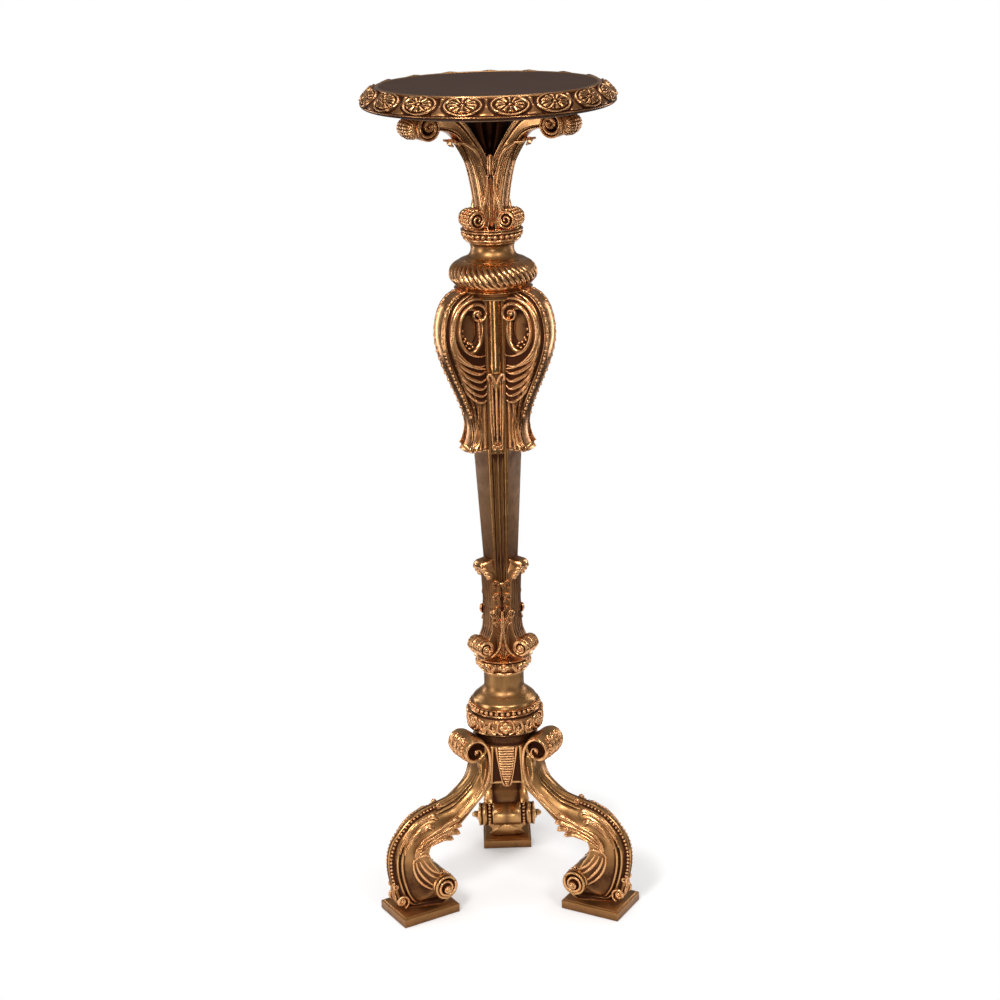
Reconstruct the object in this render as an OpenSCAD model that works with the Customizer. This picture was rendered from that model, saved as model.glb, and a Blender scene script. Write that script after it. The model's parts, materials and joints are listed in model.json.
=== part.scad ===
// Torchere candle stand: carved and gilded tripod with a round top.
// Millimetres, +Z up, origin on the floor in the middle of the stand's box: the rear knee
// reaches further back than the rim does to the front, so the column stands a little ahead.
// A leg, a lower pilaster, a console and a bracket stand above one another on
// each of the three sides at 210, 330 and 90 degrees.

/* [Plinths] */
// Height of each foot block
plinth_h = 16; // [12:1:24]
// Length of a foot block along its leg
plinth_len = 100; // [80:1:116]
// Width of a foot block across its leg
plinth_w = 81; // [72:1:90]
// Height of the step on top of the block
plinth_step = 2; // [1:0.5:4]
// Inset of the step from the block's sides
plinth_inset = 3; // [1:0.5:6]
// Corner radius of the block
plinth_corner = 3; // [1:0.5:6]
// Distance of the block's centre beyond the lower volute's
plinth_ahead = 24.6; // [20:0.2:30]

/* [Legs] */
// Greatest reach of a leg from the axis
leg_reach = 221; // [200:1:250]
// Height of a leg's top above the plinth
leg_rise = 268; // [240:1:300]
// Width of a leg's outer edge at the knee
leg_edge_w = 17; // [12:0.5:24]
// Width of a leg's inner face at the knee
leg_body_w = 66; // [54:1:72]
// Radius of the volute under the hub
leg_top_volute_r = 21; // [18:0.5:24]
// Length of the volute under the hub
leg_top_volute_w = 58; // [52:1:64]
// Reach of that volute from the axis
leg_top_reach = 91; // [86:1:96]
// Distance of that volute's top below the hub's
leg_top_drop = 3; // [1:0.5:6]
// Radius of the volute above the plinth
leg_foot_volute_r = 20; // [17:0.5:23]
// Swell of a leg's flanks near its outer edge
leg_fullness = 0.45; // [0.3:0.01:0.62]
// Length of the volute above the plinth, between its rings
leg_foot_volute_w = 92; // [80:1:98]
// Distance that a snail eye stands out of the lower volute
leg_eye_out = 12; // [6:0.5:16]
// Thickness of the band that passes under the lower volute
leg_band_t = 17; // [14:0.5:20]

/* [Hub] */
// Distance from the axis to the faces that carry the legs
hub_face = 46; // [40:1:52]
// Width of the faces that carry the legs
hub_face_w = 66; // [60:1:74]
// Height of the hub
hub_h = 91; // [84:1:97]
// Height of the hub's top above the legs' heads
hub_over_legs = 4; // [2:0.5:8]
// Width of those faces at the hub's foot
hub_foot_w = 46; // [40:1:56]
// Thickness of the frame of a ribbed panel
panel_t = 4; // [3:0.5:6]
// Radius of the ribs of a panel
rib_r = 2.2; // [1.6:0.1:2.8]
// Number of ribs on a panel
rib_count = 13; // [8:1:16]

/* [Lower turning] */
// Greatest radius of the carved band
band_r = 62.4; // [58:0.2:66]
// Height of the carved band
band_h = 30; // [26:1:36]
// Greatest radius of the lower bead ring
low_bead_r = 57; // [53:0.5:60]
// Height of the lower bead ring
low_bead_h = 10; // [8:0.5:13]
// Radius of the vase's shoulder
vase_r = 51.5; // [46:0.5:53]
// Radius of the vase's neck
vase_neck_r = 31.7; // [26:0.5:36]
// Height of the vase
vase_h = 54; // [48:1:64]
// Greatest radius of the berry collar
berry_r = 45; // [42:0.5:48]
// Height of the berry collar
berry_h = 26; // [22:1:32]

/* [Shaft] */
// Height of the three-sided shaft
shaft_h = 592; // [560:1:640]
// Distance from the axis to a bracket face behind the pilasters
shaft_face_low = 21.5; // [19:0.5:24]
// Distance from the axis to a bracket face behind the consoles
shaft_face_top = 29.5; // [27:0.5:32]
// Width of a bracket face for each millimetre of its distance from the axis
shaft_face_ratio = 1.56; // [1.4:0.01:1.7]
// Radius of the round bar in each channel
bar_r = 10; // [6:0.5:12]
// Length of the round bar, down from the shaft's head
bar_len = 124; // [104:1:136]

/* [Pilasters] */
// Height of a pilaster above the berry collar
pilaster_h = 163; // [150:1:176]
// Thickness of a pilaster at its waist
pilaster_t = 5; // [4:0.5:8]
// Reach of the leaf curl on top, from the axis
pilaster_curl = 41; // [38:0.5:48]
// Radius of the volute at a pilaster's foot
pilaster_volute_r = 13.5; // [10:0.5:15]
// Reach of that volute, from the axis
pilaster_reach = 54.5; // [50:0.5:60]

/* [Consoles] */
// Greatest reach of a console from the axis
console_reach = 95.5; // [86:0.5:106]
// Height of a console, down from the shaft's head
console_h = 250; // [235:1:265]
// Width of a console's outer face
console_edge_w = 34; // [26:1:38]
// Radius of the scroll at a console's head
console_scroll_r = 11; // [9:0.5:13]
// Length of the scroll at a console's head
console_scroll_w = 56; // [50:1:60]
// Depth of the hollow in a console's side
console_hollow = 6; // [3:0.5:8]

/* [Upper turning] */
// Greatest radius of the gadroon ring
gadroon_r = 66.7; // [62:0.5:72]
// Height of the gadroon ring
gadroon_h = 42; // [36:1:48]
// Smallest radius of the neck
neck_r = 32.6; // [28:0.5:36]
// Height of the neck
neck_h = 28; // [22:1:36]
// Greatest radius of the upper bead ring
up_bead_r = 47; // [43:0.5:50]
// Height of the upper bead ring
up_bead_h = 20; // [16:1:24]

/* [Bracketed head] */
// Distance from the axis to a face of the core
core_face = 13; // [11.5:0.5:14]
// Width of a face of the core
core_face_w = 28; // [26:1:32]
// Growth of the core towards the board
core_flare = 3.4; // [2.6:0.1:3.6]
// Reach of a bracket's upper volute from the axis
arm_reach = 134; // [120:1:141]
// Height of a bracket, up to the board
arm_rise = 174.5; // [162:0.5:186]
// Width of a bracket at its waist
arm_w = 30; // [24:1:31]
// Radius of a bracket's upper volute
arm_top_volute_r = 18.5; // [16:0.5:20]
// Length of a bracket's upper volute
arm_top_volute_w = 54; // [44:1:60]
// Distance that a bracket's shell stands out beyond its upper volute
arm_shell_out = 16; // [12:0.5:19]
// Length of the shell
arm_shell_w = 40; // [34:1:46]
// Reach of a bracket's lower volute from the axis
arm_low_reach = 47.5; // [45:0.5:50]
// Radius of a bracket's lower volute
arm_low_volute_r = 14; // [11:0.5:15.5]

/* [Top] */
// Greatest radius of the rim
rim_r = 188; // [178:1:200]
// Height of the rim
rim_h = 33; // [30:0.5:38]
// Height of the rim's foot above the board's underside
rim_lift = 2.5; // [1:0.5:5]
// Width of the rim's carved slope, outside the fillet
rim_w = 25; // [20:0.5:27]
// Thickness of the board
board_t = 28.5; // [26:0.5:30]
// Distance that the board reaches beyond the inlaid panel
board_step = 2; // [1:0.5:3]
// Thickness of the inlaid panel
inlay_t = 6; // [4:0.5:8]
// Width of the gilt fillet round the panel
fillet_w = 4; // [3:0.25:6]

/* [Joinery] */
// Radius of a dowel
dowel_r = 4; // [3:0.25:5]
// Length of a leg dowel
leg_dowel_len = 24; // [18:1:30]
// Length of a console dowel
console_dowel_len = 26; // [20:1:32]
// Radius of the thin dowels of the head
arm_dowel_r = 2.5; // [2:0.25:3]
// Length of the thin dowels of the head
arm_dowel_len = 13; // [10:1:15]
// Radius of the dowel through the neck
neck_dowel_r = 8; // [6:0.5:9]
// Length of the dowel through the neck
neck_dowel_len = 124; // [112:1:132]
// Length of that dowel inside the head's core
neck_dowel_in_head = 8; // [5:1:12]
// Radius of the steel tie rod
rod_r = 5; // [4:0.5:6]
// Length of the tie rod inside the shaft
rod_in_shaft = 60; // [40:1:80]
// Height of the tie rod's nut
nut_h = 8; // [6:0.5:10]
// Width of the nut across its flats
nut_w = 17; // [15:0.5:19]
// Length of the tie rod below its nut
rod_end = 2; // [0:0.5:4]
// Radius of the washer
washer_r = 12; // [11:0.5:16]
// Thickness of the washer
washer_t = 2; // [1.5:0.25:3]
// Radius of a screw's shank
screw_r = 2.5; // [2:0.25:3]
// Length of a screw
screw_len = 40; // [34:1:44]
// Radius of a screw's countersunk head
head_r = 5; // [4.5:0.25:6]
// Radial clearance of dowels, rod and screws in their holes
fit = 0.1; // [0.05:0.01:0.2]

/* [Hidden] */
$fn = 96;

// Distance of the column's axis from the origin, towards the front
axis_ahead = (leg_reach - rim_r) / 2;
module placed() {
    translate([0, -axis_ahead, 0]) children();
}

// Directions of the three sides that carry brackets, and of the three channels between
sides = [210, 330, 90];
channels = [270, 30, 150];

gilt = "#c79a4b";
burnished = "#b98d4a";
carved = "#a86c34";
lacquer = "#4c3a30";
bare_wood = "#b08a5a";
steel = "#8f9298";

// The heights at which the pieces stack up
z_leg = plinth_h;
z_hub_top = z_leg + leg_rise + hub_over_legs;
z_hub = z_hub_top - hub_h;
z_band = z_hub_top;
z_low_bead = z_band + band_h;
z_vase = z_low_bead + low_bead_h;
z_berry = z_vase + vase_h;
z_shaft = z_berry + berry_h;
z_shaft_top = z_shaft + shaft_h;
z_neck = z_shaft_top + gadroon_h;
z_up_bead = z_neck + neck_h;
z_head = z_up_bead + up_bead_h;
z_board = z_head + arm_rise;
z_board_top = z_board + board_t;
z_rim = z_board + rim_lift;
z_top = z_rim + rim_h;

// Radii of the pieces inside the rim
fillet_r = rim_r - rim_w;
inlay_r = fillet_r - fillet_w;
board_r = inlay_r + board_step;

// Heights at which the shaft changes its taper: foot, pilaster heads, console feet, head
z_kinks = [z_shaft, z_shaft + pilaster_h, z_shaft_top - console_h, z_shaft_top];
shaft_faces = [shaft_face_low, shaft_face_low, shaft_face_top, shaft_face_top];

// Distance from the axis to a bracket face of the shaft, and half that face's width
function face_at(z) = lookup(z, [for (i = [0:3]) [z_kinks[i], shaft_faces[i]]]);
function half_at(z) = face_at(z) * shaft_face_ratio / 2;
// Distance from the axis to a channel face of a six-sided core, and half that face's width
function channel_face(face, half) = face * cos(60) + half * sin(60);
function channel_half(face, half) = face * sin(60) - half * cos(60);

// A smooth curve through a list of points of any size, with extra points between
function blend(a, b, c, d, t) =
    0.5 * (2 * b + (c - a) * t + (2 * a - 5 * b + 4 * c - d) * t * t + (3 * b - a - 3 * c + d) * t * t * t);
function smooth(p, steps) = let (n = len(p) - 1) concat(
    [for (i = [0:n - 1], k = [0:steps - 1])
        blend(p[max(i - 1, 0)], p[i], p[i + 1], p[min(i + 2, n)], k / steps)],
    [p[n]]);
// Half an ellipse from [base_r, z0] to [base_r, z1] that reaches crown_r half-way up
function swell(base_r, crown_r, z0, z1, n = 14) =
    [for (i = [0:n]) let (a = 180 * i / n - 90)
        [base_r + (crown_r - base_r) * cos(a), (z0 + z1) / 2 + (z1 - z0) / 2 * sin(a)]];

// A solid through loops of equal length, with its faces turned outwards
function total(list) = [for (item = list) 1] * list;
function winding(loop, ahead) =
    total([for (j = [1:len(loop) - 2]) cross(loop[j] - loop[0], loop[j + 1] - loop[0])]) * ahead;
module loft(loops) {
    n = len(loops[0]);
    last = len(loops) - 1;
    ahead = total(loops[last]) - total(loops[last - 1]);
    forward = winding(loops[last], ahead) < 0;
    walls = [for (i = [0:last - 1], j = [0:n - 1]) let (k = (j + 1) % n)
        each [[i * n + j, i * n + k, (i + 1) * n + k], [i * n + j, (i + 1) * n + k, (i + 1) * n + j]]];
    ends = [[for (j = [n - 1:-1:0]) j], [for (j = [0:n - 1]) last * n + j]];
    faces = [for (face = concat(walls, ends)) forward ? face : [for (m = [len(face) - 1:-1:0]) face[m]]];
    polyhedron([for (loop = loops) each loop], faces, convexity = 8);
}

// One loop across a bracket, from its outer edge o to its inner edge i, both [radius, height];
// fullness is the share of the flank's swell that is reached at a third of its depth
function across(o, i, edge, body, fullness = 0.62) = let (m = o + 0.3 * (i - o),
                                                          bulge = edge + fullness * (body - edge)) [
    [o[0], edge, o[1]], [m[0], bulge, m[1]], [i[0], body, i[1]],
    [i[0], -body, i[1]], [m[0], -bulge, m[1]], [o[0], -edge, o[1]]];

// A scroll seen from its side: ring, sunk face and raised eye, with its length along Y
module volute(radius, width, eye_out = 2) {
    half = width / 2;
    half_profile = [[0, half + eye_out], [radius * 0.2, half + eye_out * 0.7], [radius * 0.34, half - 2],
                    [radius * 0.78, half - 2], [radius * 0.88, half], [radius, half - 2]];
    mirrored = [for (i = [len(half_profile) - 1:-1:0]) [half_profile[i][0], -half_profile[i][1]]];
    rotate([90, 0, 0]) rotate_extrude() polygon(concat(half_profile, mirrored));
}

module turned(points, z) {
    ends = [[0, points[len(points) - 1][1]], [0, points[0][1]]];
    translate([0, 0, z]) rotate_extrude() polygon(concat(points, ends));
}

// A six-sided core with three bracket faces and three channel faces, through [face, half, z]
module core(levels) {
    loft([for (l = levels) [for (a = sides, s = [-1, 1])
        [l[0] * cos(a) - s * l[1] * sin(a), l[0] * sin(a) + s * l[1] * cos(a), l[2]]]]);
}

module rounded_block(len_x, len_y, h, r) {
    linear_extrude(h) {
        square([len_x, len_y - 2 * r], center = true);
        square([len_x - 2 * r, len_y], center = true);
        for (x = [-1, 1], y = [-1, 1])
            translate([x * (len_x / 2 - r), y * (len_y / 2 - r)]) circle(r, $fn = 24);
    }
}

// Screw with its head up, its head's top at the origin
module screw(gap = 0) {
    head_h = head_r - screw_r;
    translate([0, 0, -head_h]) cylinder(h = head_h + gap, r1 = screw_r + gap, r2 = head_r + gap, $fn = 32);
    translate([0, 0, -screw_len]) cylinder(h = screw_len, r = screw_r + gap, $fn = 32);
}

// A dowel that lies along X, half to each side of the origin
module dowel(r, length) {
    rotate([0, 90, 0]) cylinder(h = length, r = r, center = true, $fn = 32);
}

/* Legs: [outer reach, outer height, inner reach, inner height, edge, body], where reach runs
   from the hub's face (0) to the knee (1), height from the plinth (0) to the hub's top (1),
   and edge and body are shares of the two widths */
leg_stations = [
    [0.000, 0.918, 0.000, 0.675, 1.90, 0.92], [0.070, 0.880, 0.069, 0.638, 1.80, 0.92],
    [0.081, 0.800, 0.137, 0.604, 1.50, 0.93], [0.122, 0.733, 0.206, 0.567, 1.25, 0.95],
    [0.185, 0.691, 0.274, 0.530, 1.10, 0.97], [0.271, 0.650, 0.343, 0.493, 1.05, 0.98],
    [0.355, 0.625, 0.411, 0.451, 1.00, 1.00], [0.454, 0.610, 0.480, 0.438, 1.00, 1.00],
    [0.562, 0.597, 0.554, 0.435, 1.00, 1.00], [0.665, 0.582, 0.617, 0.422, 1.00, 1.00],
    [0.773, 0.550, 0.657, 0.403, 1.00, 1.00], [0.874, 0.494, 0.677, 0.373, 1.00, 1.00],
    [0.949, 0.434, 0.680, 0.343, 1.00, 1.00], [0.990, 0.364, 0.669, 0.317, 1.00, 1.03],
    [1.000, 0.291, 0.646, 0.291, 1.00, 1.05], [0.989, 0.213, 0.617, 0.265, 1.00, 1.08],
    [0.957, 0.127, 0.589, 0.228, 1.00, 1.11], [0.920, 0.060, 0.571, 0.187, 1.00, 1.14],
    [0.857, 0.007, 0.560, 0.157, 1.20, 1.17], [0.771, 0.000, 0.554, 0.142, 1.70, 1.17],
    [0.663, 0.000, 0.554, 0.138, 2.40, 1.17], [0.554, 0.000, 0.554, 0.138, 3.20, 1.17],
    [0.486, 0.022, 0.554, 0.138, 3.40, 1.17]];
leg_span = leg_reach - hub_face;
foot_volute = [hub_face + leg_span * 0.554, z_leg + leg_foot_volute_r + leg_band_t];
top_volute = [leg_top_reach - leg_top_volute_r, z_hub_top - leg_top_drop - leg_top_volute_r];
plinth_at = foot_volute[0] + plinth_ahead;
plinth_screw_at = foot_volute[0] + plinth_ahead / 2;
leg_dowel_z = [z_hub + hub_h * 0.2, z_hub + hub_h * 0.62];

function leg_point(u, v) = [hub_face + leg_span * u, max(z_leg, z_leg + leg_rise * v)];

module leg_solid() {
    loft([for (s = smooth(leg_stations, 2))
        across(leg_point(s[0], s[1]), leg_point(s[2], s[3]), s[4] * leg_edge_w / 2,
               s[5] * leg_body_w / 2, leg_fullness)]);
    translate([top_volute[0], 0, top_volute[1]]) volute(leg_top_volute_r, leg_top_volute_w);
    translate([foot_volute[0], 0, foot_volute[1]])
        volute(leg_foot_volute_r, leg_foot_volute_w, leg_eye_out);
}

module leg(a) {
    color(burnished) rotate([0, 0, a]) difference() {
        leg_solid();
        for (z = leg_dowel_z)
            translate([hub_face, 0, z]) dowel(dowel_r + fit, leg_dowel_len);
        translate([plinth_screw_at, 0, 0]) mirror([0, 0, 1]) screw(fit);
    }
}

module plinth(a) {
    step_len = plinth_len - 2 * plinth_inset;
    step_w = plinth_w - 2 * plinth_inset;
    color(gilt) rotate([0, 0, a]) translate([plinth_at, 0, 0]) difference() {
        union() {
            rounded_block(plinth_len, plinth_w, plinth_h - plinth_step, plinth_corner);
            rounded_block(step_len, step_w, plinth_h, plinth_corner);
        }
        translate([plinth_screw_at - plinth_at, 0, 0]) mirror([0, 0, 1]) screw(fit);
    }
}

module plinth_screws() {
    color(steel) for (a = sides)
        rotate([0, 0, a]) translate([plinth_screw_at, 0, 0]) mirror([0, 0, 1]) screw();
}

module leg_dowels() {
    color(bare_wood) for (a = sides, z = leg_dowel_z)
        rotate([0, 0, a]) translate([hub_face, 0, z]) dowel(dowel_r, leg_dowel_len);
}

module hub() {
    half = hub_face_w / 2;
    color(burnished) difference() {
        core([[hub_face, hub_foot_w / 2, z_hub], [hub_face, half, z_hub_top]]);
        for (a = sides, z = leg_dowel_z)
            rotate([0, 0, a]) translate([hub_face, 0, z]) dowel(dowel_r + fit, leg_dowel_len);
        rod_hole();
    }
}

// Ribbed pendant panel that lies on a leaning channel face of the hub
panel_top_gap = 18;
panel_foot_gap = 1;
// Half widths of the pendant and of its ribs: [share of the height, share of the top's half width]
pendant = [[0, 0.22], [0.05, 0.38], [0.2, 0.53], [0.42, 0.72], [0.72, 0.93], [1, 1]];
rib_ends = [[0, 0.05], [0.15, 0.27], [0.38, 0.58], [0.5, 0.68], [1, 0.68]];
module panel(a) {
    foot_face = channel_face(hub_face, hub_foot_w / 2);
    top_face = channel_face(hub_face, hub_face_w / 2);
    lean = atan((top_face - foot_face) / hub_h);
    top_half = channel_half(hub_face, hub_face_w / 2) - 4.5;
    panel_h = hub_h - panel_top_gap;
    pitch = (panel_h * 0.9) / rib_count;
    place = [[foot_face, 0, z_hub], [0, lean, 0]];
    color(carved) rotate([0, 0, a]) translate(place[0]) rotate(place[1]) translate([0, 0, panel_foot_gap]) {
        rotate([90, 0, 90]) linear_extrude(panel_t)
            polygon(concat([for (p = pendant) [p[1] * top_half, p[0] * panel_h]],
                           [for (i = [len(pendant) - 1:-1:0])
                               [-pendant[i][1] * top_half, pendant[i][0] * panel_h]]));
        for (i = [0:rib_count - 1]) {
            z = panel_h * 0.05 + (i + 0.5) * pitch;
            translate([panel_t, 0, z]) rotate([90, 0, 0])
                cylinder(h = 2 * top_half * lookup(z / panel_h, rib_ends), r = min(rib_r, pitch * 0.48),
                         center = true, $fn = 24);
        }
    }
}

module rod_hole() {
    translate([0, 0, z_hub - 1]) cylinder(h = z_shaft + rod_in_shaft - z_hub + 1, r = rod_r + fit);
}

module carved_band() {
    foot_r = band_r - 5.4;
    color(carved) difference() {
        turned(swell(foot_r, band_r, 0, band_h), z_band);
        rod_hole();
    }
}

module lower_bead_ring() {
    seat_r = low_bead_r - 5;
    color(carved) difference() {
        turned(concat(swell(seat_r, low_bead_r, 0, low_bead_h - 1), [[seat_r, low_bead_h]]), z_low_bead);
        rod_hole();
    }
}

module vase() {
    drop = vase_r - vase_neck_r;
    // Shares of the flare and of the height
    outline = [for (p = [[0.975, 0], [1, 0.03], [0.93, 0.122], [0.72, 0.197], [0.51, 0.263], [0.29, 0.321],
                         [0.15, 0.38], [0.04, 0.456], [0, 0.54], [0, 0.705], [0.01, 0.85], [0.07, 0.95],
                         [0.2, 1]]) [vase_neck_r + drop * p[0], vase_h * p[1]]];
    color(gilt) difference() {
        turned(smooth(outline, 4), z_vase);
        rod_hole();
    }
}

module berry_collar() {
    foot_r = berry_r - 10;
    color(carved) difference() {
        turned(concat([[foot_r, 0], [foot_r + 2, 3]],
                      swell(berry_r - 5, berry_r - 0.5, 6, berry_h - 7),
                      [[berry_r - 2, berry_h - 5], [berry_r, berry_h - 3], [berry_r, berry_h]]), z_berry);
        rod_hole();
    }
}

console_dowel_z = [z_shaft_top - console_h * 0.2, z_shaft_top - console_h * 0.5];
neck_dowel_z = z_head + neck_dowel_in_head - neck_dowel_len;

module console_dowel(a, z, r) {
    rotate([0, 0, a]) translate([face_at(z), 0, z]) dowel(r, console_dowel_len);
}

module shaft() {
    top = z_shaft_top;
    bar_face = channel_face(face_at(top - bar_len / 2), half_at(top - bar_len / 2));
    color(burnished) difference() {
        union() {
            core([for (z = z_kinks) [face_at(z), half_at(z), z]]);
            for (a = channels)
                rotate([0, 0, a]) translate([bar_face, 0, top - bar_len])
                    cylinder(h = bar_len, r = bar_r, $fn = 32);
        }
        for (a = channels) rotate([0, 0, a]) channel();
        for (a = sides, z = console_dowel_z)
            console_dowel(a, z, dowel_r + fit);
        rod_hole();
        translate([0, 0, neck_dowel_z]) cylinder(h = neck_dowel_len, r = neck_dowel_r + fit);
    }
}

// The sunk channel between two fillets, from the leaves to the husk
channel_z = [z_shaft + pilaster_h * 0.55, z_shaft_top - console_h + 4];
channel_depth = 3;
fillet_share = 0.7;
module channel() {
    function loop(z, out) = let (face = channel_face(face_at(z), half_at(z)),
                                 half = channel_half(face_at(z), half_at(z)) * fillet_share)
        [[face - channel_depth, -half, z], [face - channel_depth, half, z], [face + out, half, z],
         [face + out, -half, z]];
    loft([for (z = [channel_z[0], z_kinks[1], z_kinks[2], channel_z[1]]) loop(z, 2)]);
}

/* Pilasters and consoles stand on the shaft: [outer reach, outer height, inner height,
   edge, body], heights from foot (0) to head (1) */
pilaster_stations = [
    [0.36, 0.000, 0.000, 0.90, 1.0], [0.30, 0.100, 0.100, 0.90, 1.0], [0.22, 0.190, 0.180, 0.90, 1.0],
    [0.13, 0.280, 0.270, 0.90, 1.0], [0.10, 0.420, 0.410, 0.90, 1.0], [0.10, 0.580, 0.570, 0.85, 1.0],
    [0.13, 0.720, 0.710, 0.85, 1.0], [0.20, 0.830, 0.820, 0.80, 1.0], [0.46, 0.900, 0.880, 0.75, 1.0],
    [0.62, 0.945, 0.920, 0.65, 0.9], [0.50, 0.990, 0.965, 0.50, 0.8], [0.12, 1.000, 1.000, 0.40, 0.7]];
module pilaster(a) {
    waist = face_at(z_shaft + pilaster_h / 2) + pilaster_t;
    head_span = (pilaster_curl - waist) / 0.52;
    foot_span = (pilaster_reach - pilaster_volute_r - waist) / 0.26;
    color(carved) rotate([0, 0, a]) {
        loft([for (s = smooth(pilaster_stations, 2))
            let (zo = z_shaft + pilaster_h * s[1], zi = z_shaft + pilaster_h * min(1, s[2]),
                 span = s[1] < 0.5 ? foot_span : head_span)
            across([max(face_at(zo) + 1, waist + span * (s[0] - 0.1)), zo], [face_at(zi), zi],
                   half_at(zi) * s[3], half_at(zi) * s[4])]);
        translate([pilaster_reach - pilaster_volute_r, 0, z_shaft + pilaster_volute_r + 6])
            volute(pilaster_volute_r, 2 * half_at(z_shaft) + 8, 3);
    }
}

// Acanthus leaf that fills a channel between two pilasters
module leaf(a) {
    // Share of the pilasters' height, stand-out, share of the channel's width
    stations = [[0.00, 3, 1.0], [0.12, 7, 1.0], [0.22, 5, 0.9], [0.36, 5, 0.9], [0.50, 9, 0.95],
                [0.56, 10, 0.9], [0.62, 5, 0.8], [0.76, 6, 0.8], [0.84, 8, 0.7], [0.88, 3, 0.5]];
    color(carved) rotate([0, 0, a])
        loft([for (s = smooth(stations, 2))
            let (z = z_shaft + pilaster_h * s[0], face = channel_face(face_at(z), half_at(z)),
                 half = channel_half(face_at(z), half_at(z)) * fillet_share * s[2] - 0.1)
            [[face, -half, z], [face, half, z], [face + s[1] * 0.6, half, z],
             [face + s[1], 0, z], [face + s[1] * 0.6, -half, z]]]);
}

console_stations = [
    [0.266, 1.000, 0.985, 0.95, 0.95], [0.476, 0.992, 0.947, 1.00, 1.00], [0.686, 0.963, 0.906, 1.00, 1.00],
    [0.869, 0.902, 0.858, 1.00, 1.00], [0.974, 0.815, 0.790, 1.00, 1.00], [1.000, 0.733, 0.720, 1.00, 1.00],
    [0.960, 0.652, 0.644, 1.00, 1.00], [0.856, 0.562, 0.559, 1.00, 1.00], [0.677, 0.448, 0.448, 0.95, 1.00],
    [0.499, 0.344, 0.348, 0.90, 1.00], [0.350, 0.240, 0.248, 0.90, 1.00], [0.275, 0.142, 0.157, 0.90, 1.00],
    [0.290, 0.076, 0.095, 1.00, 1.00], [0.365, 0.032, 0.053, 1.10, 1.00], [0.424, 0.007, 0.024, 1.10, 1.00],
    [0.365, 0.000, 0.012, 1.00, 0.95]];
module console(a) {
    base = z_shaft_top - console_h;
    span = console_reach - shaft_face_top;
    scroll_z = z_shaft_top - console_scroll_r * 2.9;
    color(carved) rotate([0, 0, a]) difference() {
        union() {
            loft([for (s = smooth(console_stations, 2))
                let (zo = min(z_shaft_top, base + console_h * s[1]),
                     zi = min(z_shaft_top, base + console_h * s[2]),
                     body = half_at(zi) * s[4])
                across([shaft_face_top + span * s[0], zo], [face_at(zi), zi],
                       min(console_edge_w / 2, half_at(zi)) * s[3], body)]);
            translate([shaft_face_top + console_scroll_r, 0, scroll_z])
                volute(console_scroll_r, console_scroll_w);
        }
        for (y = [-1, 1])
            translate([shaft_face_top + span / 2, y * (half_at(scroll_z) + 2), base + console_h * 0.68])
                rotate([90, 0, 0]) cylinder(h = 2 * console_hollow, r = span * 0.26, center = true);
        for (z = console_dowel_z) console_dowel(0, z, dowel_r + fit);
    }
}

module console_dowels() {
    color(bare_wood) for (a = sides, z = console_dowel_z) console_dowel(a, z, dowel_r);
}

// Husk that hangs in a channel below the round bar
module husk(a) {
    head = z_shaft_top - bar_len;
    foot = z_shaft_top - console_h + 7;
    function loop(z, share, out) = let (face = channel_face(face_at(z), half_at(z)),
                                        half = channel_half(face_at(z), half_at(z)) * share)
        [[face, -half, z], [face, half, z], [face + out, half * 0.5, z], [face + out, -half * 0.5, z]];
    color(carved) rotate([0, 0, a])
        loft([loop(head, 0.95, 6), loop(head - 12, 0.9, 7), loop(head - 24, 0.7, 5),
              loop(foot + 14, 0.45, 4), loop(foot + 6, 0.6, 6), loop(foot, 0.3, 2)]);
}

module gadroon_ring() {
    foot_r = gadroon_r - 11.7;
    outline = [[foot_r, 2], [gadroon_r - 6, gadroon_h * 0.19], [gadroon_r - 1, gadroon_h * 0.33],
               [gadroon_r, gadroon_h * 0.48], [gadroon_r - 1.4, gadroon_h * 0.66],
               [gadroon_r - 6.5, gadroon_h * 0.82], [gadroon_r - 14.5, gadroon_h * 0.94],
               [gadroon_r - 22, gadroon_h]];
    color(carved) difference() {
        turned(concat([[foot_r, 0]], smooth(outline, 3)), z_shaft_top);
        neck_dowel_hole();
    }
}

module neck_dowel_hole() {
    translate([0, 0, neck_dowel_z]) cylinder(h = neck_dowel_len, r = neck_dowel_r + fit);
}

module neck() {
    outline = [[neck_r + 11.4, 0], [neck_r + 4, neck_h * 0.18], [neck_r + 0.3, neck_h * 0.42],
               [neck_r, neck_h * 0.62], [neck_r + 1.8, neck_h * 0.84], [neck_r + 5.4, neck_h]];
    color(gilt) difference() {
        turned(smooth(outline, 4), z_neck);
        neck_dowel_hole();
    }
}

module upper_bead_ring() {
    color(carved) difference() {
        turned([[up_bead_r - 9, 0], [up_bead_r - 6, up_bead_h * 0.1], [up_bead_r - 2.5, up_bead_h * 0.3],
                [up_bead_r - 0.8, up_bead_h * 0.48], [up_bead_r, up_bead_h * 0.65],
                [up_bead_r, up_bead_h * 0.82], [up_bead_r - 4, up_bead_h]], z_up_bead);
        neck_dowel_hole();
    }
}

module neck_dowel() {
    color(bare_wood) translate([0, 0, neck_dowel_z]) cylinder(h = neck_dowel_len, r = neck_dowel_r);
}

arm_dowel_z = [z_head + arm_rise * 0.12, z_head + arm_rise * 0.4];

module arm_dowel(a, z, r) {
    rotate([0, 0, a]) translate([core_face, 0, z]) dowel(r, arm_dowel_len);
}

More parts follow.
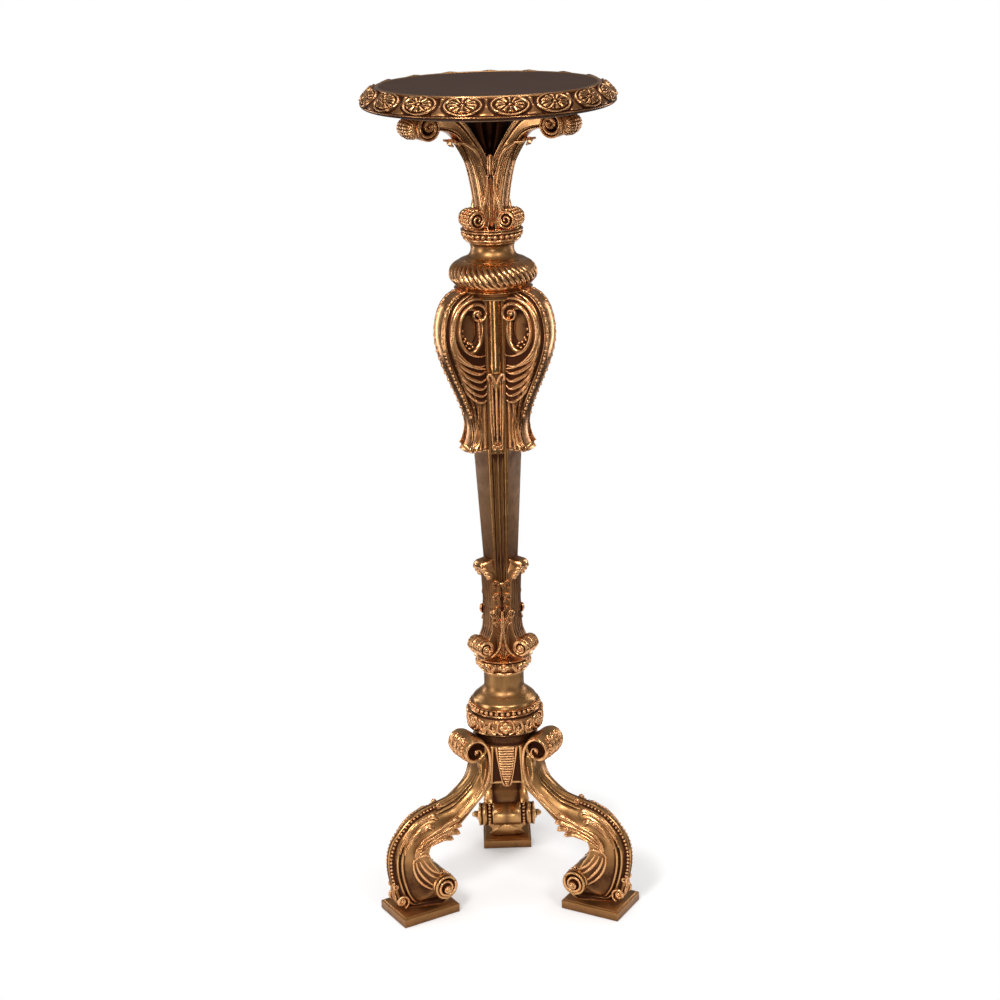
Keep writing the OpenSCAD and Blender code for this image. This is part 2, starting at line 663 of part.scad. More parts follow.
module head_core() {
    color(carved) difference() {
        core([for (l = [[0, 1], [0.55, 1], [0.65, core_flare * 0.38], [0.75, core_flare * 0.61],
                        [0.88, core_flare * 0.83], [1, core_flare]])
            [core_face * l[1], core_face_w / 2 * l[1], z_head + arm_rise * l[0]]]);
        for (a = sides, z = arm_dowel_z) arm_dowel(a, z, arm_dowel_r + fit);
        neck_dowel_hole();
    }
}

/* Brackets of the head: [outer reach, outer height, inner reach, inner height, edge, body],
   reach from the core's face (0) to the volute's outside (1), height from the bead ring (0)
   to the board (1), edge and body as shares of the width */
arm_stations = [
    [0.141, 0.010, 0.000, 0.000, 0.90, 0.98], [0.106, 0.105, 0.000, 0.105, 0.90, 0.98],
    [0.090, 0.186, 0.000, 0.186, 0.90, 0.98], [0.103, 0.273, 0.000, 0.273, 0.90, 0.98],
    [0.124, 0.360, 0.000, 0.360, 0.90, 0.98], [0.156, 0.465, 0.000, 0.465, 0.90, 0.98],
    [0.207, 0.580, 0.008, 0.560, 0.90, 1.00], [0.281, 0.685, 0.058, 0.640, 0.92, 1.05],
    [0.356, 0.762, 0.156, 0.750, 0.96, 1.12], [0.438, 0.814, 0.273, 0.866, 1.05, 1.20],
    [0.553, 0.849, 0.405, 0.953, 1.15, 1.30], [0.678, 0.866, 0.553, 1.000, 1.25, 1.40],
    [0.787, 0.872, 0.721, 1.000, 1.35, 1.50], [0.848, 0.890, 0.848, 1.000, 1.45, 1.55]];
arm_span = arm_reach - core_face;
arm_screw_r = core_face + arm_span * 0.68;

module arm(a) {
    function at(u, v) = [max(core_face, core_face + arm_span * u), min(z_board, z_head + arm_rise * v)];
    color(carved) rotate([0, 0, a]) difference() {
        union() {
            loft([for (s = smooth(arm_stations, 2))
                across(at(s[0], s[1]), at(s[2], s[3]), s[4] * arm_w / 2, s[5] * arm_w / 2)]);
            translate([arm_reach - arm_top_volute_r, 0, z_board - arm_top_volute_r])
                volute(arm_top_volute_r, arm_top_volute_w);
            translate([arm_reach + arm_shell_out - arm_top_volute_r, 0, z_board - arm_top_volute_r])
                rotate([90, 0, 0]) rotate_extrude() polygon(concat(
                    [[0, -arm_shell_w / 2]],
                    swell(arm_top_volute_r - 5, arm_top_volute_r, -arm_shell_w / 2, arm_shell_w / 2),
                    [[0, arm_shell_w / 2]]));
            translate([arm_low_reach - arm_low_volute_r, 0, z_head + arm_low_volute_r])
                volute(arm_low_volute_r, arm_w + 6, 3);
        }
        for (z = arm_dowel_z) arm_dowel(0, z, arm_dowel_r + fit);
        translate([arm_screw_r, 0, z_board_top]) screw(fit);
    }
}

module arm_dowels() {
    color(bare_wood) for (a = sides, z = arm_dowel_z) arm_dowel(a, z, arm_dowel_r);
}

module top_board() {
    color(bare_wood) difference() {
        translate([0, 0, z_board]) cylinder(h = board_t, r = board_r, $fn = 180);
        for (a = sides) rotate([0, 0, a]) translate([arm_screw_r, 0, z_board_top]) screw(fit);
    }
}

module board_screws() {
    color(steel) for (a = sides) rotate([0, 0, a]) translate([arm_screw_r, 0, z_board_top]) screw();
}

module rim_moulding() {
    outline = [[rim_r - 18, 0], [rim_r - 9, rim_h * 0.03], [rim_r - 3.5, rim_h * 0.09],
               [rim_r - 0.6, rim_h * 0.17], [rim_r, rim_h * 0.245], [rim_r - 1, rim_h * 0.365],
               [rim_r - 4, rim_h * 0.485], [rim_r - 7, rim_h * 0.59], [rim_r - 11, rim_h * 0.715],
               [rim_r - 14.5, rim_h * 0.82], [rim_r - 18, rim_h * 0.91],
               [rim_r - rim_w * 0.84, rim_h * 0.98]];
    z_inside = board_t - rim_lift;
    color(carved) translate([0, 0, z_rim]) rotate_extrude($fn = 180)
        polygon(concat(smooth(outline, 3), [[fillet_r, rim_h * 0.98], [fillet_r, z_inside],
                                            [board_r, z_inside], [board_r, 0]]));
}

module inlay_panel() {
    color(lacquer) translate([0, 0, z_board_top]) cylinder(h = inlay_t, r = inlay_r, $fn = 180);
}

module inlay_fillet() {
    crest = z_top - z_board_top;
    color(gilt) translate([0, 0, z_board_top]) rotate_extrude($fn = 180)
        polygon(concat([[inlay_r, 0]], [[inlay_r + fillet_w, 0]],
                       [for (i = [0:8]) let (t = 180 * i / 8)
                           [inlay_r + fillet_w / 2 * (1 + cos(t)), crest - fillet_w / 2 * (1 - sin(t))]]));
}

module tie_rod() {
    foot = z_hub - washer_t - nut_h - rod_end;
    color(steel) translate([0, 0, foot])
        cylinder(h = z_shaft + rod_in_shaft - foot, r = rod_r, $fn = 32);
}

module tie_nut() {
    bore = rod_r + fit;
    color(steel) difference() {
        union() {
            translate([0, 0, z_hub - washer_t]) cylinder(h = washer_t, r = washer_r, $fn = 48);
            translate([0, 0, z_hub - washer_t - nut_h]) cylinder(h = nut_h, r = nut_w / sqrt(3), $fn = 6);
        }
        translate([0, 0, z_hub - washer_t - nut_h - 1])
            cylinder(h = nut_h + washer_t + 2, r = bore, $fn = 32);
    }
}

placed() plinth(sides[0]);  // plinth_left
placed() plinth(sides[1]);  // plinth_right
placed() plinth(sides[2]);  // plinth_rear
placed() leg(sides[0]);  // leg_left
placed() leg(sides[1]);  // leg_right
placed() leg(sides[2]);  // leg_rear
placed() hub();
placed() panel(channels[0]);  // panel_front
placed() panel(channels[1]);  // panel_right
placed() panel(channels[2]);  // panel_left
placed() carved_band();
placed() lower_bead_ring();
placed() vase();
placed() berry_collar();
placed() shaft();
placed() pilaster(sides[0]);  // pilaster_left
placed() pilaster(sides[1]);  // pilaster_right
placed() pilaster(sides[2]);  // pilaster_rear
placed() leaf(channels[0]);  // leaf_front
placed() leaf(channels[1]);  // leaf_right
placed() leaf(channels[2]);  // leaf_left
placed() console(sides[0]);  // console_left
placed() console(sides[1]);  // console_right
placed() console(sides[2]);  // console_rear
placed() husk(channels[0]);  // husk_front
placed() husk(channels[1]);  // husk_right
placed() husk(channels[2]);  // husk_left
placed() gadroon_ring();
placed() neck();
placed() upper_bead_ring();
placed() head_core();
placed() arm(sides[0]);  // arm_left
placed() arm(sides[1]);  // arm_right
placed() arm(sides[2]);  // arm_rear
placed() top_board();
placed() rim_moulding();
placed() inlay_fillet();
placed() inlay_panel();
placed() plinth_screws();
placed() leg_dowels();
placed() tie_rod();
placed() tie_nut();
placed() console_dowels();
placed() neck_dowel();
placed() arm_dowels();
placed() board_screws();
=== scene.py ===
import json
import math
import bpy
import numpy as np
from mathutils import Matrix, Vector


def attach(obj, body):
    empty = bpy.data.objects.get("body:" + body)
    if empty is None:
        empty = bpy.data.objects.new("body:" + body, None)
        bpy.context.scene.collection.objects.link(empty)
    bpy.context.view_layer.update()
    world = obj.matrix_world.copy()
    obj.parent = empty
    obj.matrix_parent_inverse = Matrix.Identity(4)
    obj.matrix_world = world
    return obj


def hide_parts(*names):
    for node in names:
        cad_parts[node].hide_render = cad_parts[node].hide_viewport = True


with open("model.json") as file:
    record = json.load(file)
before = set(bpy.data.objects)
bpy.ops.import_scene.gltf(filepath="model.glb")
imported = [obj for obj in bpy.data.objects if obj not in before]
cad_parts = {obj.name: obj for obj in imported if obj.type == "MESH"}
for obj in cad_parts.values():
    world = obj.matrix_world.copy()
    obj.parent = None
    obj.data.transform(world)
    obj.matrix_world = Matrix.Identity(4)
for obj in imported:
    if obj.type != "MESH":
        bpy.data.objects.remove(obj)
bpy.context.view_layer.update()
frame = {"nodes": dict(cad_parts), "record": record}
mm = 0.001
axisAhead = 0.0165  # the column stands this far in front of the origin
sideTurns = {"left": 210, "right": 330, "rear": 90}  # where legs, pilasters, consoles and arms stand
gapTurns = {"front": 270, "right": 30, "left": 150}  # the channels between them
forward = np.array([1.0, 0, 0])  # each bracket is shaped on the X axis, then turned to its place
sideways = np.array([0, 1.0, 0])
print("frame loaded")


# shaping helpers, in millimetres about the column's axis

def choose(piece):
    bpy.ops.object.select_all(action="DESELECT")
    piece.select_set(True)
    bpy.context.view_layer.objects.active = piece


def unit(v):
    return v / np.maximum(np.linalg.norm(v, axis=-1, keepdims=True), 1e-9)


def bump(x, centre, width):
    return np.exp(-((x - centre) / width) ** 2)


def ease(x, low, high):
    t = np.clip((x - low) / (high - low), 0, 1)
    return t * t * (3 - 2 * t)


def share(count, heights, values):
    # values at even steps from 0 to 1
    return np.interp(np.linspace(0, 1, count), heights, values)


def roundTurn(count):
    return np.linspace(0, 2 * np.pi, count, endpoint=False)


def lengthAlong(points):
    return np.r_[0, np.cumsum(np.linalg.norm(np.diff(points, axis=0), axis=1))]


def smoothed(points, steps):
    # a smooth curve through the rows of a list, with extra rows between
    p = np.array(points, float)
    p = np.vstack([p[:1], p, p[-1:]])
    t = np.linspace(0, 1, steps, endpoint=False)[:, None]
    rows = []
    for a, b, c, d in zip(p, p[1:], p[2:], p[3:]):
        rows.append(0.5 * (2 * b + (c - a) * t + (2 * a - 5 * b + 4 * c - d) * t ** 2
                           + (3 * b - a - 3 * c + d) * t ** 3))
    return np.vstack(rows + [p[-1:]])


def evened(points, count, measure=lambda p: p):
    # the same curve in equal steps; measure gives the points that the length is taken from
    run = lengthAlong(measure(points))
    want = np.linspace(0, run[-1], count)
    return np.stack([np.interp(want, run, column) for column in points.T], axis=1)


def curve(points, count):
    return evened(smoothed(points, 10), count)


def normalTo(path):
    # the directions across a flat path
    return unit(np.gradient(path, axis=0))[:, ::-1] * [1, -1]


def outward(grid):
    # normals of rows that go up and columns that close round
    across = np.roll(grid, -1, 1) - np.roll(grid, 1, 1)
    return unit(np.cross(across, np.gradient(grid, axis=0)))


def capped(grid):
    # closes a tube's two ends on their middle points
    first = np.repeat(grid[:1].mean(axis=1, keepdims=True), grid.shape[1], axis=1)
    last = np.repeat(grid[-1:].mean(axis=1, keepdims=True), grid.shape[1], axis=1)
    return np.concatenate([first, grid, last])


def both(grid):
    # a strand or leaf of one flank, and the same on the other
    return [grid, grid * [1, -1, 1]]


def closeUp(piece):
    choose(piece)
    bpy.ops.object.mode_set(mode="EDIT")
    bpy.ops.mesh.select_all(action="SELECT")
    bpy.ops.mesh.remove_doubles(threshold=1e-6)
    bpy.ops.mesh.normals_make_consistent(inside=False)
    bpy.ops.object.mode_set(mode="OBJECT")
    bpy.ops.object.shade_smooth()
    return piece


def skin(name, grid, ringRows=False):
    # a flat grid whose vertices are moved to the given places, closed round its seams
    if ringRows:
        grid = np.concatenate([grid, grid[:1]])
    grid = np.concatenate([grid, grid[:, :1]], axis=1)
    rows, cols = grid.shape[:2]
    bpy.ops.object.select_all(action="DESELECT")
    bpy.ops.mesh.primitive_grid_add(x_subdivisions=cols - 1, y_subdivisions=rows - 1, size=1)
    piece = bpy.context.object
    piece.name = name
    piece.data.name = name
    piece.data.vertices.foreach_set("co", (grid * mm).astype(np.float32).ravel())
    piece.data.update()
    return closeUp(piece)


def meshed(name, points, faces):
    mesh = bpy.data.meshes.new(name)
    mesh.from_pydata((points * mm).tolist(), [], faces.tolist())
    piece = bpy.data.objects.new(name, mesh)
    bpy.context.collection.objects.link(piece)
    return piece


def gathered(name, grids):
    # one mesh of many closed tubes
    points, faces, start = [], [], 0
    for grid in grids:
        rows, cols = grid.shape[:2]
        here = start + np.arange(rows * cols).reshape(rows, cols)
        beside = np.roll(here, -1, axis=1)
        faces.append(np.stack([here[:-1], beside[:-1], beside[1:], here[1:]], axis=-1).reshape(-1, 4))
        points.append(grid.reshape(-1, 3))
        start += rows * cols
    return closeUp(meshed(name, np.vstack(points), np.vstack(faces)))


def berries(name, rows):
    # one round berry, copied to many (x, y, z, radius) places
    bpy.ops.object.select_all(action="DESELECT")
    bpy.ops.mesh.primitive_ico_sphere_add(subdivisions=2, radius=1)
    ball = bpy.context.object
    shape = np.array([v.co[:] for v in ball.data.vertices])
    faces = np.array([f.vertices[:] for f in ball.data.polygons])
    bpy.data.objects.remove(ball, do_unlink=True)
    rows = np.array(rows, float)[:, None]
    points = rows[..., :3] + shape * rows[..., 3:]
    faces = faces + (np.arange(len(rows)) * len(shape))[:, None, None]
    piece = meshed(name, points.reshape(-1, 3), faces.reshape(-1, 3))
    choose(piece)
    bpy.ops.object.shade_smooth()
    return piece


def twoBerries(x, y, z, size):
    return [(x, -y, z, size), (x, y, z, size)]


def taper(count, start, middle, end):
    # a width along a strand: its two ends and its middle
    t = np.linspace(0, 1, count)
    return start + (end - start) * t + (middle - min(start, end)) * np.sin(np.pi * t) ** 0.7


def strand(path, normals, width, height):
    # a ridge along a path that lies on a surface: half its width, and how far it stands up;
    # three widths are those of its start, middle and end
    normals = unit(np.broadcast_to(normals, path.shape))
    side = unit(np.cross(np.gradient(path, axis=0), normals))
    if isinstance(width, tuple):
        width = taper(len(path), *width)
    turn = roundTurn(10)[:, None]
    w, h = (np.broadcast_to(value, len(path))[:, None, None] for value in (width, height))
    return capped(path[:, None] + side[:, None] * w * np.cos(turn) + normals[:, None] * h * np.sin(turn))


def leaf(spine, normals, half, rise, lobes=0.01, notch=0, lean=0, fibres=1, grain=0.2, cols=22):
    # an acanthus leaf on a surface: lobed edges, fibres along it and a closed back; plain if nothing is said
    normals = unit(np.broadcast_to(normals, spine.shape))
    ahead = unit(np.gradient(spine, axis=0))
    side = unit(np.cross(ahead, normals))
    half, rise = (np.broadcast_to(value, len(spine)) for value in (half, rise))
    v = np.linspace(-1, 1, cols)
    scallop = 1 - notch * (1 - np.abs(np.sin(np.pi * lobes * np.linspace(0, 1, len(spine)))) ** 0.7)
    reach = (half * scallop)[:, None] * v
    crown = rise[:, None] * np.cos(v * np.pi / 2) ** 0.6
    ridges = grain * np.cos(2 * np.pi * fibres * v) * (1 - 0.5 * np.abs(v)) * (half / half.max())[:, None]
    slid = spine[:, None] + ahead[:, None] * (lean * np.abs(reach))[..., None]
    top = slid + side[:, None] * reach[..., None] + normals[:, None] * (crown + ridges)[..., None]
    back = slid + side[:, None] * (reach * 0.92)[..., None] - normals[:, None] * 1.6
    return capped(np.concatenate([top, back[:, ::-1]], axis=1))


def swelling(count, low, high, power):
    # a leaf's width that grows and falls again, from part to part of half a wave
    return np.sin(np.linspace(low, high, count) * np.pi) ** power


def spiral(centre, outer, inner, turns, start, steps, power=0.85, drift=(0, 0)):
    # (radius, height) points of a scroll about a centre, from its outer to its inner end
    t = np.linspace(0, 1, steps)
    angle = np.radians(start) + t * turns * 2 * np.pi
    r = outer + (inner - outer) * t ** power
    return np.stack([centre[0] + drift[0] * t + r * np.cos(angle),
                     centre[1] + drift[1] * t + r * np.sin(angle)], axis=1)


def onSide(path, y):
    # a (radius, height) path at a distance to the side
    return np.stack([path[:, 0], np.broadcast_to(y, len(path)), path[:, 1]], axis=1)


def onFace(path, reach):
    # a (sideways, height) path at a distance from the axis
    return np.stack([np.broadcast_to(reach, len(path)), path[:, 0], path[:, 1]], axis=1)


def turnedTo(degrees, away, side, height):
    # places by their distance from the axis, to the side and up, turned about the axis
    a = math.radians(degrees)
    away, side, height = np.broadcast_arrays(away, side, height)
    return np.stack([away * math.cos(a) - side * math.sin(a), away * math.sin(a) + side * math.cos(a),
                     height], axis=-1)


def turnedGrid(outline, cols):
    # an outline of (radius, height) turned about the stand's axis
    outline = np.asarray(outline, float)
    a = roundTurn(cols)
    return np.stack([outline[:, :1] * np.cos(a), outline[:, :1] * np.sin(a),
                     np.repeat(outline[:, 1:], cols, axis=1)], axis=2)


def roll(centre, half, cols):
    # a scroll's body about a line along Y: (y, radius) from its middle to one end, and the same behind
    profile = np.vstack([np.array(half[::-1]) * [-1, 1], half[1:]])
    a = roundTurn(cols)
    return np.stack([centre[0] + profile[:, 1:] * np.cos(a), np.repeat(profile[:, :1], cols, axis=1),
                     centre[1] + profile[:, 1:] * np.sin(a)], axis=2)


def onRoll(centre, radii, degrees, count):
    # a line round a scroll's body, and its normals
    angle = np.radians(np.linspace(*degrees, count))
    flat = np.stack([np.cos(angle), np.zeros(count), np.sin(angle)], axis=1)
    return np.array([centre[0], 0, centre[1]]) + flat * [radii[0], 1, radii[1]], flat


def spaced(stations, count, piece, middle=True):
    # even rows through a bracket's stations, along its middle or its outer edge
    def measure(p):
        line = (p[:, :2] + p[:, 2:4]) / 2 if middle else p[:, :2]
        return line * [piece["span"], piece["rise"]]
    return evened(smoothed(stations, 14), count, measure)


def edgeOf(rows, column, piece):
    # two columns of stations as (radius, height) points
    start = np.array([piece["inside"], piece["foot"]])
    return start + rows[:, column:column + 2] * [piece["span"], piece["rise"]]


innerTurn = np.linspace(1, -1, 17)[1:-1]  # places across a bracket's inner face


def bracket(outer, inner, edge, body, s, relief, outerRelief, innerRelief, faceCols=9, swell=2.6):
    # a scrolled bracket between its outer and inner edge curves: closed rings of flank, inner face, flank
    # and outer face; a flank's relief takes distances in millimetres, a face's takes -1 to 1 across it
    gap = inner - outer
    depth = np.linalg.norm(gap, axis=1)[:, None]
    ahead = gap / np.maximum(depth, 1e-6)
    half = edge[:, None] + (body - edge)[:, None] * (1 - (1 - s) ** swell)
    half = half + relief(s * depth, (1 - s) * depth)
    flank = outer[:, None] + s[:, None] * gap[:, None]
    left = np.stack([flank[..., 0], half, flank[..., 1]], axis=2)
    faces = []
    for line, way, t, carved, width in (
            (inner, ahead, innerTurn, innerRelief, half[:, -1:]),
            (outer, -ahead, np.linspace(-1, 1, faceCols)[1:-1], outerRelief, half[:, :1])):
        face = line[:, None] + way[:, None] * np.atleast_2d(carved(t))[..., None]
        faces.append(np.stack([face[..., 0], width * t, face[..., 1]], axis=2))
    return np.concatenate([left, faces[0], left[:, ::-1] * [1, -1, 1], faces[1]], axis=1)


def draped(grid, flankCols, path, lift, least=0.0):
    # lays a (radius, height) path on the near flank of a bracket, never nearer its middle than least
    face = grid[:, :flankCols].reshape(-1, 3)
    away = np.linalg.norm(path[:, None] - face[None][:, :, [0, 2]], axis=2)
    near = np.argpartition(away, 6, axis=1)[:, :6]
    weight = 1 / (np.take_along_axis(away, near, axis=1) + 0.4)
    y = (face[near, 1] * weight).sum(axis=1) / weight.sum(axis=1)
    y = np.convolve(np.pad(y, 2, mode="edge"), np.ones(5) / 5, mode="valid")
    return onSide(path, np.maximum(y + lift, least))


def nearest(x, z, line):
    # how far places are from a (radius, height) line
    away = np.full(x.shape, 1e9)
    for lineX, lineZ in line:
        away = np.minimum(away, np.hypot(x - lineX, z - lineZ))
    return away


def stored(collection, key, width, kind=np.float32):
    values = np.empty(len(collection) * width, kind)
    collection.foreach_get(key, values)
    return values.reshape(-1, width)


def markReliefShade(piece, paintedShade=None, depth=0.55):
    # stores how far each vertex lies below (+) or above (-) its calmed surroundings, painted as shade in the
    # hollows and as wear and a painted highlight on the ridges; painted shade given by place adds to it, and a
    # large depth leaves only that
    mesh = piece.data
    reach = 4.0
    count = len(mesh.vertices)
    place = stored(mesh.vertices, "co", 3) / mm
    normal = stored(mesh.vertex_normals, "vector", 3)
    edge = stored(mesh.edges, "vertices", 2, np.int32)
    span = np.median(np.linalg.norm(place[edge[:, 0]] - place[edge[:, 1]], axis=1))
    links = np.maximum(np.bincount(edge.ravel(), minlength=count), 1)[:, None]
    calm = place.copy()
    for _ in range(int(np.clip((reach / span) ** 2, 2, 24))):
        near = np.stack([np.bincount(edge[:, 0], calm[edge[:, 1], k], count)
                         + np.bincount(edge[:, 1], calm[edge[:, 0], k], count) for k in range(3)], axis=1)
        calm = 0.5 * calm + 0.5 * near / links
    level = np.einsum("ij,ij->i", calm - place, normal) / depth
    if paintedShade is not None:
        level = level + paintedShade(*place.T)
    mark = mesh.attributes.new("reliefShade", "FLOAT", "POINT")
    mark.data.foreach_set("value", np.clip(level, -1, 1).astype(np.float32))


def finished(piece, slotName, *nodes, paintedShade=None, depth=0.55):
    if "reliefShade" not in piece.data.attributes:
        markReliefShade(piece, paintedShade, depth)
    piece.data.transform(Matrix.Translation((0, -axisAhead, 0)))
    piece.data.materials.clear()
    piece.data.materials.append(finishes[slotName])
    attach(piece, "root")
    if nodes:
        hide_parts(*nodes)


def threefold(master, turns, slotName, node=None, paintedShade=None, depth=0.55):
    # a copy with its own mesh at each of three turns about the axis
    markReliefShade(master, paintedShade, depth)
    for word, angle in turns.items():
        twin = master.copy()
        twin.data = master.data.copy()
        twin.data.transform(Matrix.Rotation(math.radians(angle), 4, "Z"))
        twin.name = f"{master.name}_{word}"
        twin.data.name = twin.name
        bpy.context.collection.objects.link(twin)
        finished(twin, slotName, *([f"{node}_{word}"] if node else []))
    bpy.data.objects.remove(master, do_unlink=True)


def turnedPiece(name, outline, cols, slotName, *nodes, paintedShade=None):
    finished(skin(name, turnedGrid(outline, cols), ringRows=True), slotName, *nodes, paintedShade=paintedShade)


def beadRing(name, ring):
    line = turnedGrid([ring["beadLine"]], ring["beads"])[0]
    finished(berries(name, [(*place, ring["beadSize"]) for place in line]), "gilding_carved")


# finishes

def addNode(tree, kind, **values):
    node = tree.nodes.new(kind)
    for key, value in values.items():
        if key in node.inputs:
            node.inputs[key].default_value = value
        else:
            setattr(node, key, value)
    return node


def feed(tree, value, socket):
    # a socket takes another one's value, or a fixed one
    if hasattr(value, "is_linked"):
        tree.links.new(value, socket)
    else:
        socket.default_value = value


def arithmetic(tree, how, a, b, clamp=False):
    node = addNode(tree, "ShaderNodeMath", operation=how, use_clamp=clamp)
    feed(tree, a, node.inputs[0])
    feed(tree, b, node.inputs[1])
    return node.outputs[0]


def sumsOf(tree):
    # plus, minus, times and the greater of two, as nodes of one tree
    return [lambda a, b, clamp=False, how=how: arithmetic(tree, how, a, b, clamp)
            for how in ("ADD", "SUBTRACT", "MULTIPLY", "MAXIMUM")]


def tinted(tree, mask, a, b):
    node = addNode(tree, "ShaderNodeMix", data_type="RGBA")
    for socket, value in ((0, mask), (6, a), (7, b)):
        feed(tree, value, node.inputs[socket])
    return node.outputs[2]


def newMaterial(name):
    material = bpy.data.materials.new(name)
    material.use_nodes = True
    return material, material.node_tree, material.node_tree.nodes["Principled BSDF"].inputs


def roughened(tree, shader, height, strength, distance):
    relief = addNode(tree, "ShaderNodeBump", Strength=strength, Distance=distance)
    tree.links.new(height, relief.inputs["Height"])
    tree.links.new(relief.outputs["Normal"], shader["Normal"])


def makeGildingGroup():
    # gold leaf over red-brown clay: painted shade in the hollows, rubbed on the ridges with a paler painted
    # highlight there, mottled between
    group = bpy.data.node_groups.new("gildedSurface", "ShaderNodeTree")
    face = group.interface
    for label, default in (("Gold", (0.8, 0.55, 0.25, 1)), ("Pale gold", (0.85, 0.7, 0.42, 1)),
                           ("Hollow", (0.055, 0.0145, 0.004, 1)), ("Clay", (0.3, 0.07, 0.02, 1))):
        face.new_socket(label, in_out="INPUT", socket_type="NodeSocketColor").default_value = default
    for label, default in (("Hollow amount", 1.0), ("Rubbing", 0.2), ("Roughness", 0.3), ("Mottle", 0.5)):
        face.new_socket(label, in_out="INPUT", socket_type="NodeSocketFloat").default_value = default
    face.new_socket("Color", in_out="OUTPUT", socket_type="NodeSocketColor")
    for label in ("Roughness", "Metallic", "Coat", "Height"):
        face.new_socket(label, in_out="OUTPUT", socket_type="NodeSocketFloat")
    given = group.nodes.new("NodeGroupInput").outputs
    plus, minus, times, _ = sumsOf(group)
    place = group.nodes.new("ShaderNodeTexCoord").outputs["Object"]
    reliefShade = addNode(group, "ShaderNodeAttribute", attribute_name="reliefShade").outputs["Fac"]
    noises = []
    for scale, detail in ((14, 3), (55, 5), (420, 4)):
        noise = addNode(group, "ShaderNodeTexNoise", Scale=scale, Detail=detail, Roughness=0.6)
        group.links.new(place, noise.inputs["Vector"])
        noises.append(minus(noise.outputs["Fac"], 0.5))
    broad, cloud, fine = noises
    # painted shade from the relief level and from what is given by place, with random grime from the noise
    shadeAndGrime = plus(plus(times(reliefShade, 2.1), times(cloud, 0.7)), times(fine, 0.35), clamp=True)
    hollow = times(shadeAndGrime, given["Hollow amount"], clamp=True)
    ridge = times(reliefShade, -1.0, clamp=True)
    worn = times(minus(plus(ridge, times(fine, 2.4)), 0.62), 3.0, clamp=True)
    rubbed = times(worn, given["Rubbing"], clamp=True)
    mottle = plus(times(broad, given["Mottle"]), times(cloud, given["Mottle"]))
    # paler on the ridges: a painted highlight over the mottled tone
    tone = plus(plus(times(mottle, 1.8), 0.45), times(ridge, 0.5), clamp=True)
    colour = tinted(group, tone, given["Gold"], given["Pale gold"])
    # the near-black hollow colour is painted shade
    colour = tinted(group, hollow, colour, given["Hollow"])
    rough = plus(plus(given["Roughness"], times(cloud, 0.22)), times(hollow, 0.35))
    result = group.nodes.new("NodeGroupOutput").inputs
    for label, value in (("Color", tinted(group, rubbed, colour, given["Clay"])),
                         ("Roughness", plus(rough, times(rubbed, 0.2), clamp=True)),
                         ("Metallic", minus(1.0, plus(times(hollow, 0.12), rubbed, clamp=True), clamp=True)),
                         ("Coat", times(minus(1.0, times(hollow, 0.9), clamp=True), 0.14)),
                         ("Height", plus(times(fine, 0.5), cloud))):
        group.links.new(value, result[label])
    return group


def gilding(name, gold, paleGold, hollowShadeAmount, rubbing, roughness, mottle, bumpHeight):
    material, tree, shader = newMaterial(name)
    surface = tree.nodes.new("ShaderNodeGroup")
    surface.node_tree = gildedSurface
    for key, value in {"Gold": (*gold, 1), "Pale gold": (*paleGold, 1), "Hollow amount": hollowShadeAmount,
                       "Rubbing": rubbing, "Roughness": roughness, "Mottle": mottle}.items():
        surface.inputs[key].default_value = value
    for output, socket in (("Color", "Base Color"), ("Roughness", "Roughness"), ("Metallic", "Metallic"),
                           ("Coat", "Coat Weight")):
        tree.links.new(surface.outputs[output], shader[socket])
    shader["Coat Roughness"].default_value = 0.2
    roughened(tree, shader, surface.outputs["Height"], 1.0, bumpHeight)
    return material


def grained(name, dark, light, roughness, scale, stretch, metallic=0.0, specular=0.5):
    # wood, lacquer or steel: a colour drawn out into streaks
    material, tree, shader = newMaterial(name)
    plus, _, times, _ = sumsOf(tree)
    drawn = addNode(tree, "ShaderNodeMapping", Scale=stretch)
    tree.links.new(tree.nodes.new("ShaderNodeTexCoord").outputs["Object"], drawn.inputs["Vector"])
    streak = addNode(tree, "ShaderNodeTexNoise", Scale=scale, Detail=6, Roughness=0.6)
    tree.links.new(drawn.outputs["Vector"], streak.inputs["Vector"])
    ramp = tree.nodes.new("ShaderNodeValToRGB")
    for end, position, colour in zip(ramp.color_ramp.elements, (0.32, 0.7), (dark, light)):
        end.position = position
        end.color = (*colour, 1)
    tree.links.new(streak.outputs["Fac"], ramp.inputs["Fac"])
    tree.links.new(ramp.outputs["Color"], shader["Base Color"])
    tree.links.new(plus(times(streak.outputs["Fac"], 0.18), roughness - 0.09), shader["Roughness"])
    shader["Metallic"].default_value = metallic
    shader["Specular IOR Level"].default_value = specular
    roughened(tree, shader, streak.outputs["Fac"], 0.3, 0.0002)
    return material


